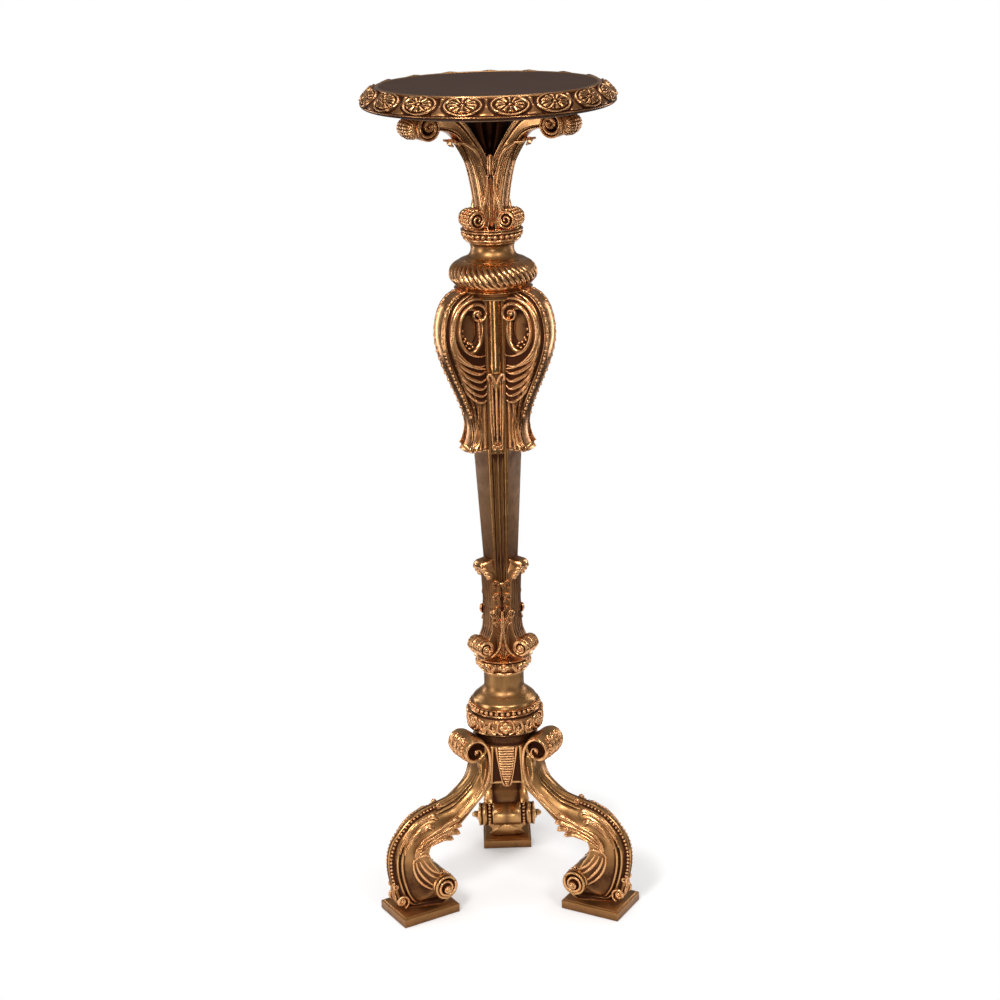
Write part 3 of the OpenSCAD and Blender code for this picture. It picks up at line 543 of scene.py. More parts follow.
gildedSurface = makeGildingGroup()
finishes = {
    "gilding_plain": gilding("plainGilding", (0.37, 0.16, 0.047), (0.58, 0.31, 0.118), hollowShadeAmount=0.95,
                             rubbing=0.1, roughness=0.3, mottle=0.6, bumpHeight=0.00004),
    "gilding_burnished": gilding("burnishedGilding", (0.36, 0.155, 0.045), (0.6, 0.325, 0.124),
                                 hollowShadeAmount=1.0, rubbing=0.12, roughness=0.27, mottle=0.7,
                                 bumpHeight=0.00005),
    "gilding_carved": gilding("carvedGilding", (0.42, 0.155, 0.044), (0.76, 0.4, 0.172), hollowShadeAmount=1.0,
                              rubbing=0.12, roughness=0.24, mottle=0.6, bumpHeight=0.00007),
    "panel_lacquer": grained("brownLacquer", (0.048, 0.026, 0.018), (0.062, 0.035, 0.025), roughness=0.6,
                             scale=9, stretch=(1, 7, 1), specular=0.1),
    "board_wood": grained("boardWood", (0.2, 0.11, 0.05), (0.36, 0.22, 0.12), roughness=0.6, scale=12,
                          stretch=(1, 9, 1)),
    "dowel_wood": grained("dowelWood", (0.4, 0.26, 0.13), (0.55, 0.38, 0.2), roughness=0.6, scale=40,
                          stretch=(1, 1, 0.2)),
    "steel": grained("greySteel", (0.3, 0.3, 0.31), (0.45, 0.45, 0.46), roughness=0.35, scale=60,
                     stretch=(1, 1, 4), metallic=1.0),
}
slotOfNode = {part["node"]: part["material_slot"] for part in frame["record"]["subparts"]}
for nodeName, node in frame["nodes"].items():
    node.data.materials.clear()
    node.data.materials.append(finishes[slotOfNode[nodeName]])
print("finishes made")

# foot blocks
plinth = {"middle": 167.55, "size": (100, 81, 14), "step": 2, "inset": 2.2, "rounding": 1.6}
bpy.ops.mesh.primitive_cube_add(size=1)
block = bpy.context.object
block.name = "plinth"
block.data.transform(Matrix.Translation((plinth["middle"] * mm, 0, plinth["size"][2] / 2 * mm))
                     @ Matrix.Diagonal((*(side * mm for side in plinth["size"]), 1)))
choose(block)
bpy.ops.object.mode_set(mode="EDIT")
bpy.ops.mesh.select_all(action="DESELECT")
bpy.ops.object.mode_set(mode="OBJECT")
for face in block.data.polygons:
    face.select = face.normal.z > 0.9
bpy.ops.object.mode_set(mode="EDIT")
bpy.ops.mesh.inset(thickness=plinth["inset"] * mm, depth=0)
for thickness, part in ((0.8, 0.55), (1.2, 0.45)):
    bpy.ops.mesh.inset(thickness=thickness * mm, depth=plinth["step"] * part * mm)
bpy.ops.object.mode_set(mode="OBJECT")
rounding = block.modifiers.new("rounding", "BEVEL")
rounding.width = plinth["rounding"] * mm
rounding.segments = 4
rounding.limit_method = "ANGLE"
rounding.angle_limit = math.radians(50)
bpy.ops.object.modifier_apply(modifier="rounding")
bpy.ops.object.shade_smooth_by_angle(angle=math.radians(40))
# painted shade: the foot blocks a little dim all over, and more so on their sides below the top
threefold(block, sideTurns, "gilding_plain", "plinth",
          paintedShade=lambda x, y, z: 0.22 * (1 - ease(z, 9, 15)) + 0.16, depth=400)
print("foot blocks made")

# legs: their outer and inner edge as shares of span and rise, then how thick the edge and the body are
leg = {"inside": 46, "span": 175, "foot": 16, "rise": 268, "edge": 5.6, "body": 33, "rows": 200,
       "topRoll": (70, 264), "topRadius": 20.6, "footRoll": (143, 53), "heelScroll": (207, 33),
       "beadPitch": 6.0, "beadSize": 2.3, "beadsFrom": (133, 182), "beadsTo": (217, 62)}
legStations = [
    [0.000, 0.918, 0.000, 0.675, 1.90, 0.92], [0.070, 0.880, 0.069, 0.638, 1.80, 0.92],
    [0.081, 0.800, 0.137, 0.604, 1.50, 0.93], [0.122, 0.733, 0.206, 0.567, 1.10, 0.95],
    [0.185, 0.691, 0.274, 0.530, 1.00, 0.97], [0.271, 0.650, 0.343, 0.493, 1.00, 0.98],
    [0.355, 0.625, 0.411, 0.451, 1.00, 1.00], [0.454, 0.610, 0.480, 0.438, 1.00, 1.00],
    [0.562, 0.597, 0.554, 0.435, 1.00, 1.00], [0.665, 0.582, 0.617, 0.422, 1.00, 1.00],
    [0.773, 0.550, 0.657, 0.403, 1.00, 1.00], [0.874, 0.494, 0.677, 0.373, 1.00, 1.00],
    [0.949, 0.434, 0.680, 0.343, 1.00, 1.00], [0.990, 0.364, 0.669, 0.317, 1.00, 1.03],
    [1.000, 0.291, 0.646, 0.291, 1.00, 1.05], [0.989, 0.213, 0.617, 0.265, 1.00, 1.08],
    [0.957, 0.127, 0.589, 0.228, 1.00, 1.11], [0.920, 0.060, 0.571, 0.187, 1.00, 1.14],
    [0.857, 0.007, 0.560, 0.157, 1.40, 1.17], [0.771, 0.000, 0.554, 0.142, 2.00, 1.17],
    [0.663, 0.000, 0.554, 0.138, 2.80, 1.17], [0.554, 0.000, 0.554, 0.138, 3.80, 1.17],
    [0.486, 0.022, 0.554, 0.138, 4.00, 1.17]]
legRows = spaced(legStations, leg["rows"], leg)
legRun = np.linspace(0, 1, leg["rows"])
legOuter = np.maximum(edgeOf(legRows, 0, leg), [0, leg["foot"]])
legInner = edgeOf(legRows, 2, leg)
legBody = legRows[:, 5] * leg["body"]
legInwards = unit(legInner - legOuter)
legDepth = np.linalg.norm(legInner - legOuter, axis=1)[:, None]
# 0 on the neck, 1 from the knee on
legKnee = (ease(legOuter[:, 0], 118, 150) * ease(legRun, 0.1, 0.3))[:, None]
legFoot = ease(legRun, 0.84, 0.97)[:, None]
legLow = legKnee * ease(-legOuter[:, 1], -150, -128)[:, None]
legFlank = np.r_[np.linspace(0, 0.38, 28), np.linspace(0.395, 0.80, 22), np.linspace(0.83, 1, 12)]


def legRelief(d, back):
    # mouldings along the neck, the bead row's groove along the knee, and a flare at the foot
    narrowed = np.minimum(1, legDepth / 58)
    d, back = d / narrowed, back / narrowed
    knee = -1.3 * legKnee * bump(d, 4.2, 1.6)
    knee = knee + legLow * (2.2 * bump(d, 9, 1.5) - 2.2 * bump(d, 11.8, 1.6) + 1.9 * bump(d, 14.8, 1.5))
    neck = 1.5 * bump(d, 4.2, 1.5) - 1.4 * bump(d, 7.3, 1.4) + 1.5 * bump(d, 10.5, 1.5) - 1.2 * bump(d, 14, 1.6)
    neck = neck - 1.4 * bump(back, 9.5, 1.8) + 0.8 * bump(back, 12.4, 1.3)
    hollow = -2.4 * bump(d / np.maximum(d + back, 1e-6), 0.60, 0.2)
    flare = legFoot * (7 * bump(d, 0, 6) - 3 * bump(d, 15, 8))
    return knee * (1 - 0.7 * legFoot) + neck * (1 - legKnee) + hollow + flare


legGrid = bracket(legOuter, legInner, legRows[:, 4] * leg["edge"], legBody, legFlank, legRelief,
                  lambda t: 2.6 * (1 - t ** 4), lambda t: 1 - t ** 2, swell=1.75)

# on the inner face, which the rear leg shows: an arched panel, a cross moulding and a raised border
innerRun = lengthAlong(legInner)[:, None]
innerHalf = legBody[:, None] * np.abs(innerTurn)
arch = np.hypot((innerRun - 38) / 22, innerHalf / 27)
innerRelief = (1.3 * bump(arch, 1, 0.09) * (innerRun < 38) + 2.4 * bump(innerRun, 42, 3)
               - bump(innerRun, 47, 2) + 1.5 * bump(innerHalf, 29, 2.2) * (innerRun > 38))
innerCols = slice(len(legFlank), len(legFlank) + len(innerTurn))
legGrid[:, innerCols, ::2] += innerRelief[..., None] * legInwards[:, None]
topRoll = roll(leg["topRoll"], [
    (0, 20.4), (12, 20.6), (22, 20.3), (25.5, 19.6), (27.6, 19.0), (28.2, 17.6), (27.4, 16.2), (24, 15.2),
    (19, 13.4), (17.6, 9), (17.4, 0.01)], 72)
footRoll = roll(leg["footRoll"], [
    (0, 19.9), (10, 20), (21, 19.9), (23, 19.4), (24, 18.2), (26, 17.8), (32, 17.8), (33.6, 18.4), (35, 20),
    (37.5, 20.4), (40, 19.6), (41.5, 18.4), (43, 18.6), (45, 19.9), (46.8, 19.4), (47.4, 17.6), (46.4, 15.8),
    (44, 14.6), (43, 12), (43.4, 9), (45.4, 7), (50, 5.8), (55, 4.8), (58.4, 3.2), (59.4, 0.01)], 80)
legSkin = gathered("leg", [capped(grid) for grid in (legGrid, topRoll, footRoll)])
legCarving, legBerries = [], []


def onLeg(path, lift, least=0.0):
    return draped(legGrid, len(legFlank), path, lift, least)


# the strap along the neck's inner edge turns round the roll's end and curls up inside it
strap = {"points": [(112, 156), (100, 163), (88, 170.5), (76, 179), (64.5, 189.5), (55.5, 202), (49.5, 217),
                    (46.8, 233), (47, 249), (50.5, 263), (58, 274.5), (69, 280.5), (79.5, 278.6), (87, 270.5),
                    (88.4, 259), (83, 249.4), (74, 245.2), (65.5, 247.4), (60.6, 254), (62, 261), (68, 263.4),
                    (72, 259.4), (69.6, 255.2)],
         "rows": 150, "straight": 58}
strapPath = curve(strap["points"], strap["rows"])
along = np.arange(strap["rows"])
strapY = np.interp(along, [0, 14, 40, 66, 100, 126, 149], [33.2, 32, 30, 29, 28.2, 25.5, 24])
strapWidth = np.interp(along, [0, 14, 60, 100, 132, 149], [0.7, 2.4, 2.6, 2.3, 1.7, 1.1])
legCarving += both(strand(onSide(strapPath, strapY), sideways, strapWidth, 2.2))
lineBeside = strapPath + normalTo(strapPath) * np.interp(along, [0, 20, 57], [2.6, 4.8, 4.4])[:, None]
legCarving += both(strand(onLeg(lineBeside[:strap["straight"]], 0.1), sideways, (0.6, 1.2, 0.6), 1.5))

# leaves with berries on the roll's outward side
rollLine, rollNormal = onRoll(leg["topRoll"], (leg["topRadius"], leg["topRadius"]), (62, -88), 40)
for y, half in ((0, 7.5), (-11, 5.5), (11, 5.5)):
    legCarving.append(leaf(rollLine + [0, y, 0], rollNormal, half * swelling(40, 0.12, 0.95, 0.5), 2.4,
                           lobes=5, notch=0.38, lean=0.5, fibres=1.5, grain=0.9, cols=20))


def berriesRound(centre, radius, degrees, sides, size):
    return [(centre[0] + radius * math.cos(a), y, centre[1] + radius * math.sin(a), size)
            for a in np.radians(degrees) for y in sides]


legBerries += berriesRound(leg["topRoll"], leg["topRadius"] + 0.6, range(50, -85, -15),
                           (-18.5, -6, 6, 18.5), 2.3)

# the bead row along the outer edge, with a curl at each end
firstRow, lastRow = (np.argmin(np.hypot(*(legOuter - leg[end]).T)) for end in ("beadsFrom", "beadsTo"))
beadLine = np.hstack([legOuter, legInwards])[firstRow:lastRow]
beadCount = int(lengthAlong(beadLine[:, :2])[-1] / leg["beadPitch"])
for x, z, inwardX, inwardZ in evened(beadLine, beadCount, lambda p: p[:, :2]):
    legBerries += twoBerries(x + 0.9 * inwardX, leg["edge"] + 1.1, z + 0.9 * inwardZ, leg["beadSize"])
for curl in (spiral((131, 178), 5.4, 1.3, 1.3, 250, 34), spiral((213.5, 58), 5.0, 1.4, -1.1, 60, 34)):
    legCarving += both(strand(onSide(curl, leg["edge"] + 2.6), sideways, (1.0, 1.7, 1.1), 2.4))

# the knee's acanthus, inside the bead row
legNormal = normalTo(legOuter)
legNormal *= np.sign(np.sum(legNormal * legInwards, axis=1))[:, None]
lowKnee = np.argmin(np.abs(legOuter[:, 1] - 118) + 1000 * (legOuter[:, 0] < 200))
t = np.linspace(0, 1, 60)
kneeWidth = 5.8 * (0.25 + 0.75 * ease(t, 0, 0.5)) * (1 - ease(t, 0.9, 1.0) * 0.7)
for backX, lowDepth, highDepth in ((143, 9.5, 9.0), (159, 16.5, 18.5)):
    highKnee = np.argmin(np.abs(legOuter[:, 0] - backX) + 1000 * (legOuter[:, 1] < 130))
    kneeRows = np.arange(highKnee, lowKnee)[::-1]
    up = np.linspace(0, 1, len(kneeRows))
    depth = lowDepth + (highDepth - lowDepth) * up + 5 * ease(up, 0.9, 1.0)
    path = curve((legOuter[kneeRows] + legNormal[kneeRows] * depth[:, None])[::4], 60)
    legCarving += both(leaf(onLeg(path, 0.4), sideways, kneeWidth, 2.4 + 3.6 * ease(t, 0.6, 0.95), lobes=4,
                            notch=0.14, lean=1.1, fibres=2.5, grain=0.4, cols=24))

# the leaf whose lobes hang over the inner edge
earWidth = (0.35 + 0.65 * ease(t, 0.35, 0.85)) * (1 - ease(t, 0.93, 1.0) * 0.6)
for half, lobes, points in (
        (5.0, 5, [(190, 113), (185, 127), (173, 138.5), (156, 145), (137, 150.5), (120, 157), (109, 159)]),
        (5.0, 5, [(189, 112), (182, 125), (168, 134.5), (150, 140), (131, 144), (116, 147.5), (107, 146.5)]),
        (4.8, 4, [(188, 111), (179, 121.5), (165, 129.5), (149, 134.5), (132, 137.5), (118, 137.5),
                  (110.5, 134.5)]),
        (4.2, 4, [(186, 110), (176.5, 118.5), (164, 124.5), (150, 128.5), (136, 131), (123, 128.5)])):
    legCarving += both(leaf(onLeg(curve(points, 60), 0.4, 32.5), sideways, half * earWidth,
                            1.2 + 3.2 * ease(t, 0.6, 0.95), lobes=lobes, notch=0.22, lean=0.9, fibres=2.5,
                            grain=0.45, cols=20))

# the collar over the lower scroll and the strands that run from it to the volute
for points, count, lift, width, height in (
        ([(191, 98), (187.5, 105.5), (180, 110), (171.5, 112.3), (165, 109.5)], 30, 0.4, (1, 2.2, 1.4), 2.4),
        ([(190, 99), (189, 86.5), (183, 70), (173, 57.5), (160, 48.5)], 40, 0.2, (0.9, 2.2, 1.2), 2.2),
        ([(186, 101), (183, 88), (176, 74.5), (167, 63.5), (157.5, 55)], 40, 0.2, (0.9, 2.3, 1.2), 2.2),
        ([(181, 103.5), (176, 91.5), (169, 81.5), (160.5, 73), (152, 68)], 40, 0.2, (0.9, 2.3, 1.2), 2.2),
        ([(175.5, 105), (170, 95), (163.5, 86), (155.5, 79), (148, 75.5)], 40, 0.2, (0.9, 2.0, 1.2), 2.2)):
    legCarving += both(strand(onLeg(curve(points, count), lift), sideways, width, height))

# the snail on the lower volute's end, with a ring of berries behind it
snail = spiral(leg["footRoll"], 16.4, 3.6, 1.9, 150, 90)
snailY = np.interp(np.hypot(*(snail - leg["footRoll"]).T), [3, 6, 10, 14, 17], [56.5, 51, 46.4, 46.2, 47.2])
legCarving += both(strand(onSide(snail, snailY), sideways, (1.8, 1.9, 1.0), 1.9))
legBerries += berriesRound(leg["footRoll"], 18.8, range(0, 360, 18), (-29, 29), 2.5)

# the leaf and scroll that stand on the foot block's outer end
path = curve([(205, 18), (212, 30), (216, 46), (218, 62), (220, 78)], 40)
legCarving.append(leaf(onSide(path, 0.0), [1.0, 0, -0.15], 8.5 * np.linspace(1, 0.45, 40), 0.8,
                       lobes=5, notch=0.3, lean=0.6, fibres=2.5, grain=0.7, cols=26))
heel = spiral(leg["heelScroll"], 11.5, 2.4, -1.5, 255, 60)
legCarving += both(strand(onSide(heel, np.linspace(17, 13, 60)), sideways, (1, 2.4, 1.4), 2.6))
legBerries += twoBerries(leg["heelScroll"][0], 13.5, leg["heelScroll"][1], 4.2)
legBerries += twoBerries(66.8, 20.5, 258.6, 4.2)  # the upper scroll's eyes
longHollow = (legOuter + legNormal * 11.6)[(legOuter[:, 1] < 132) & (legOuter[:, 0] > 150)][::3]


def legPaintedShade(x, y, z):
    # painted shade along the beads, in the long hollow, in the volute's dish and low down
    beads = bump(nearest(x, z, legOuter[firstRow:lastRow:3]), 1.0, 4.0)
    groove = bump(nearest(x, z, longHollow), 0, 2.4)
    dish = (nearest(x, z, [leg["topRoll"]]) < 18.8) * (np.abs(y) < 27) * (np.abs(y) > 12)
    low = 0.34 * (1 - ease(z, 60, 150)) + 0.35 * (1 - ease(z, 18, 34))
    return 0.75 * beads + 0.9 * groove + 0.8 * dish + low + 0.1


threefold(legSkin, sideTurns, "gilding_burnished", "leg", paintedShade=legPaintedShade)
# painted shade on the legs' carved leaves, deepest low down
threefold(gathered("legCarving", legCarving), sideTurns, "gilding_carved",
          paintedShade=lambda x, y, z: 0.3 * (1 - ease(z, 50, 120)))
threefold(berries("legBeads", legBerries), sideTurns, "gilding_carved")
print("legs made")


# hub between the legs, with a ribbed pendant on each open face
def openFace(reach, half):
    # a three-sided block's open faces between two of its sides: their distance and half width
    sixty = math.radians(60)
    return reach * math.cos(sixty) + half * math.sin(sixty), reach * math.sin(sixty) - half * math.cos(sixty)


def threeSided(levels, reaches, halves, relief, cols=31):
    # a block of three wide and three narrow faces, with a relief on the faces between the brackets
    levels, reaches, halves = levels[:, None], reaches[:, None], halves[:, None]
    t = np.linspace(-1, 1, cols)[:-1]
    openReach, openHalf = openFace(reaches, halves)
    rings = []
    for turn in (0, 120, 240):
        rings.append(turnedTo(90 + turn, reaches, halves * t, levels))
        rings.append(turnedTo(150 + turn, openReach + relief(t, levels), openHalf * t, levels))
    return capped(np.concatenate(rings, axis=1))


def hubRelief(t, z):
    # a sunk field behind the pendant between two moulded borders
    border = np.abs(t)
    return -3.0 * (1 - ease(border, 0.72, 0.9)) - 1.2 * ease(border, 0.9, 1)


hub = {"foot": 197, "height": 91, "face": 45.4, "footHalf": 22.4, "topHalf": 32.4, "shown": (0.4, 68)}
levels = hub["foot"] + np.linspace(*hub["shown"], 60)
halves = hub["footHalf"] + (hub["topHalf"] - hub["footHalf"]) * (levels - hub["foot"]) / hub["height"]
# painted shade: the hub dim all over where it stands between the legs
finished(gathered("hub", [threeSided(levels, np.full(60, hub["face"]), halves, hubRelief)]),
         "gilding_burnished", "hub", paintedShade=lambda x, y, z: 0.75)
throat = {"outline": [(20, 262), (48, 262), (51.5, 263.5), (52.4, 266), (51, 268), (50.8, 272), (52, 278),
                      (54.6, 284), (57, 287), (57, 287.8), (20, 287.8)]}
# painted shade: the throat dim all over
turnedPiece("throat", curve(throat["outline"], 50), 144, "gilding_burnished", paintedShade=lambda x, y, z: 0.4)

# the pendants
pendant = {"foot": 193.5, "top": 266, "ribs": 4.6, "cols": 41}
footFace = openFace(hub["face"], hub["footHalf"])[0]
topFace = openFace(hub["face"], hub["topHalf"])[0]
levels = np.linspace(pendant["foot"], pendant["top"], 96)[:, None]
faceAt = footFace + (topFace - footFace) * (levels - hub["foot"]) / hub["height"]
halfAt = np.interp(levels, [193.5, 196, 201, 215, 233, 252, 266], [3, 6.4, 8.6, 11, 13.8, 17.2, 19.2])
ribHalf = np.interp(levels, [196, 201, 208, 216, 226, 236, 262], [2.5, 4, 6.4, 8.6, 10.6, 12.6, 13.2])
t = np.linspace(-1, 1, pendant["cols"])
aside = np.abs(halfAt * t)
ribs = np.abs(np.sin(np.pi * (levels - 196) / pendant["ribs"])) ** 0.7
ribs = ribs * (1 - ease(aside, ribHalf - 1.2, ribHalf + 0.4))
inField = 1 - ease(aside, ribHalf, ribHalf + 1.4)
height = 2.6 + 1.3 * bump(aside, ribHalf + 2.6, 1.3) - 0.9 * inField + 2.4 * ribs * (levels > 198)
height = height * np.sqrt(np.clip(1.02 - np.abs(t) ** 6, 0, 1))
front, back = (turnedTo(0, away, halfAt * t * narrowed, levels)
               for away, narrowed in ((faceAt + height, 1), (faceAt - 2.4, 0.98)))
threefold(gathered("panel", [capped(np.concatenate([front, back[:, ::-1]], axis=1))]), gapTurns,
          "gilding_carved", "panel")

# the head's core, painted dark as shade between the brackets, deepest towards the top
core = {"foot": 1090, "rise": 174.5, "face": 12.6, "half": 13.6, "topSpread": 3.4}
up = np.array([0, 0.3, 0.55, 0.6, 0.65, 0.75, 0.88, 0.995])
spread = np.interp(up, [0, 0.55, 0.65, 0.75, 0.88, 1],
                   [1, 1] + [core["topSpread"] * part for part in (0.38, 0.61, 0.83, 1)])
corePiece = gathered("headCore", [threeSided(core["foot"] + core["rise"] * up, core["face"] * spread,
                                             core["half"] * spread,
                                             lambda t, z: -30 * ease(z, 1176, 1215) * (1 - t ** 4))])
finished(corePiece, "gilding_carved", "head_core", paintedShade=lambda x, y, z: 0.4 + 0.2 * ease(z, 1170, 1200),
         depth=400)
print("hub and core made")

# rim with oval rosettes, and the fillet inside it
rim = {"radius": 188, "foot": 1267, "height": 33, "rosettes": 17, "first": 279, "halfLength": 27.5,
       "halfHeight": 15.5, "middle": (179, 1288.8), "petals": 12, "between": 33.2,
       "slope": [(-18, 0.01), (-9, 0.03), (-3.5, 0.09), (-0.6, 0.17), (0, 0.245), (-1, 0.365), (-4, 0.485),
                 (-7, 0.59), (-11, 0.715), (-14.5, 0.82), (-18, 0.91), (-21, 0.98), (-25, 0.985)],
       "inside": [(163, 1293), (161.2, 1293), (161.2, 1267.3), (165, 1267.3)]}
slope = curve([(rim["radius"] + x, rim["foot"] + rim["height"] * z) for x, z in rim["slope"]], 96)
rimGrid = turnedGrid(np.vstack([slope, rim["inside"]]), rim["rosettes"] * 48)
rimArc = lengthAlong(slope)
middleRow = np.argmin(np.hypot(*(slope - rim["middle"]).T))
pitch = 360 / rim["rosettes"]
x = (np.degrees(roundTurn(rimGrid.shape[1])) - rim["first"] + pitch / 2) % pitch - pitch / 2
x, y = np.meshgrid(np.radians(x) * 180, rimArc - rimArc[middleRow])  # from each rosette's middle
q = np.hypot(x / rim["halfLength"], y / rim["halfHeight"])  # 1 on a rosette's border
phi = np.arctan2(y / rim["halfHeight"], x / rim["halfLength"])
petals = np.abs(np.cos(rim["petals"] / 2 * phi)) ** 0.8
rosette = (1.2 * (1 - q ** 2) + 2.4 * bump(q, 0.93, 0.07) * (1.1 - 0.5 * ease(y, -12, 10))
           + 3.0 * petals * ease(q, 0.14, 0.3) * (1 - ease(q, 0.7, 0.84)) + 3.0 * bump(q, 0, 0.12)
           - 1.6 * bump(q, 0.84, 0.05) - 1.2 * bump(q, 0.2, 0.05))
between = rim["between"] - np.abs(x)
fanReach = np.hypot(between, 15 - y)
fan = 3.0 * np.abs(np.cos(3.5 * np.arctan2(between, 12 - y))) ** 0.6
fan = fan * ease(fanReach, 6, 10) * (1 - ease(between, 9, 13))
crown = 2.6 * bump(np.hypot(between * 1.1, 11.5 - y), 0, 4.2) + 1.6 * bump(between, 0, 1.8) * bump(y, 4, 6)
ground = -3.0 * ease(q, 1.0, 1.1) * (1 - ease(np.abs(y), 16, 18.5))
leafage = np.maximum(fan * (1 - ease(y, -2, 6)), crown) * ease(q, 1.0, 1.08) * (1 - ease(np.abs(y), 15.5, 18))
relief = (np.where(q < 1, rosette, 0) + ground + leafage + 1.4 * bump(q, 1, 0.04)) * (1 - ease(y, 15.5, 17.5))
rimGrid[:len(slope)] += outward(rimGrid)[:len(slope)] * relief[..., None]
# painted shade: the rim dim all over and more so low down
finished(skin("rim", rimGrid, ringRows=True), "gilding_carved", "rim_moulding",
         paintedShade=lambda x, y, z: 0.36 + 0.3 * (1 - ease(z, 1271, 1284)))
fillet = {"middle": (161, 1297.6), "half": (1.95, 2.3)}
turn = roundTurn(14)[:, None]
turnedPiece("fillet", fillet["middle"] + np.hstack([np.cos(turn), np.sin(turn)]) * fillet["half"], 240,
            "gilding_plain", "inlay_fillet")
print("rim made")

# brackets of the head, with stations as the legs have
arm = {"inside": 13, "span": 121, "foot": 1090, "rise": 174.5, "half": 15, "volute": (115.5, 1246),
       "shell": (131.5, 1246), "shellHalf": 20, "lowVolute": (33.5, 1104), "lowRadius": 13.4}
armStations = [
    [0.141, 0.010, 0.000, 0.000, 0.90, 0.98], [0.106, 0.105, 0.000, 0.105, 0.90, 0.98],
    [0.090, 0.186, 0.000, 0.186, 0.90, 0.98], [0.103, 0.273, 0.000, 0.273, 0.90, 0.98],
    [0.124, 0.360, 0.000, 0.360, 0.90, 0.98], [0.156, 0.465, 0.000, 0.465, 0.90, 0.98],
    [0.207, 0.580, 0.008, 0.560, 0.90, 1.00], [0.281, 0.685, 0.058, 0.640, 0.92, 1.05],
    [0.356, 0.762, 0.156, 0.750, 0.96, 1.12], [0.438, 0.814, 0.273, 0.866, 1.05, 1.20],
    [0.553, 0.849, 0.405, 0.953, 1.15, 1.30], [0.678, 0.866, 0.553, 1.000, 1.25, 1.40],
    [0.787, 0.872, 0.721, 1.000, 1.35, 1.50], [0.848, 0.890, 0.848, 1.000, 1.45, 1.55]]
armRows = spaced(armStations, 150, arm)
armOuter, armInner = edgeOf(armRows, 0, arm), edgeOf(armRows, 2, arm)
armHalf = armRows[:, 5] * arm["half"]
armCols = 36
stemShare = (1 - ease(armOuter[:, 1], 1208, 1222))[:, None]


def fibres(x, pitch, depth):
    # uneven upright ridges
    return depth * (np.abs(np.sin(np.pi * (x / pitch + 0.35 * np.sin(x * 0.9)))) ** 0.6 - 0.6)


def armRelief(d, back):
    # fibres on the stem, a strap along the curl above it
    strap = 1.4 * bump(back, 2.6, 1.6) - bump(back, 6, 1.6) - 0.8 * bump(d, 3, 1.6) + 0.8 * bump(d, 0.5, 1.2)
    return stemShare * fibres(d, 4.4, 2.3) + (1 - stemShare) * strap


armGrid = bracket(armOuter, armInner, armRows[:, 4] * arm["half"], armHalf, np.linspace(0, 1, armCols),
                  armRelief, lambda t: 1.8 * (1 - t ** 2) + stemShare * fibres(t * 14, 4.6, 2.3),
                  lambda t: 0.8 * (1 - t ** 2), faceCols=30)
armVolute = roll(arm["volute"], [(0, 18.2), (12, 18.4), (21, 18), (24, 18.4), (26.4, 18.2), (27.3, 17),
                                 (26.6, 15.7), (24, 15.2), (17.4, 14.6), (16.4, 10), (16.2, 0.01)], 64)
lowVolute = roll(arm["lowVolute"], [(0, 13.4), (8, 13.8), (13.5, 13.2), (15, 13.8), (17, 13.9), (18.3, 13.2),
                                    (18.6, 12), (17.8, 10.9), (15.6, 10.2), (14.8, 6), (14.8, 0.01)], 56)
out = np.linspace(0, 1, 21)
shellHalf = np.stack([arm["shellHalf"] * out, 11.8 + 4.9 * np.cos(out * np.pi / 2) ** 0.8], axis=1)
shell = roll(arm["shell"], np.vstack([shellHalf, (arm["shellHalf"], 0.01)]), 96)
scales = (np.abs(np.sin(roundTurn(96) * 9)) ** 0.6
          * np.abs(np.cos(np.linspace(-1, 1, len(shell)) * np.pi * 2.5))[:, None] ** 0.5)
shell[1:-1] -= (outward(shell) * (1.5 * scales - 1.5)[..., None])[1:-1]


def onArm(points, count, lift):
    return draped(armGrid, armCols, curve(points, count), lift)


def curlNormals(path):
    # normals of a path that climbs and curls outwards in a bracket's middle plane
    return unit(np.cross(sideways, np.gradient(path, axis=0)))


armCurl = spiral(arm["volute"], 16.6, 2.6, -1.8, 60, 80, power=0.8, drift=(-4, 3))
lowCurl = spiral(arm["lowVolute"], 11.8, 2.2, 1.6, 20, 60)
stemLine = onArm([(25, 1094), (22.5, 1102), (25, 1112), (22.5, 1124), (18, 1138), (15.5, 1152), (15, 1168)],
                 50, 0.4)
leafEdge = onArm([(68, 1221), (60, 1219.5), (51, 1218.5), (42, 1213), (33, 1205), (26, 1193), (23, 1183)],
                 44, 0.8)
edgeRows = slice(np.argmin(np.abs(armInner[:, 1] - 1166)), -8)
armCarving = []
for path, width, height in (
        (onSide(armCurl, share(80, [0, 0.3, 0.6, 1], [25.8, 24.5, 22.5, 24])), (1.4, 2.5, 1.8), 3.0),
        (onSide(lowCurl, 16.5), (1, 1.6, 1.2), 2.2), (stemLine, (1.4, 2.6, 1.0), 3.0),
        (leafEdge, (1.6, 2.4, 1.0), 2.2),
        (onSide(armInner[edgeRows], armHalf[edgeRows] - 0.4), (0.9, 1.7, 1.6), 2.0)):
    armCarving += both(strand(path, sideways, width, height))
tip = onSide(curve([(40, 1188), (46.5, 1202), (53, 1213), (58.5, 1220), (64, 1222), (66.8, 1218.5),
                    (64.4, 1214.5)], 40), 0.0)
armCarving.append(leaf(tip, curlNormals(tip), 9 * share(40, [0, 0.5, 0.8, 1], [0.6, 1, 0.9, 0.7]), 2.0,
                       lobes=2, notch=0.15, lean=0.3, fibres=2.5, grain=0.9, cols=30))
armBerries = twoBerries(111.5, 22.5, 1249, 3.4)
armBerries += berriesRound(arm["lowVolute"], arm["lowRadius"], range(-75, 101, 25), (-10, -3.4, 3.4, 10), 3.1)


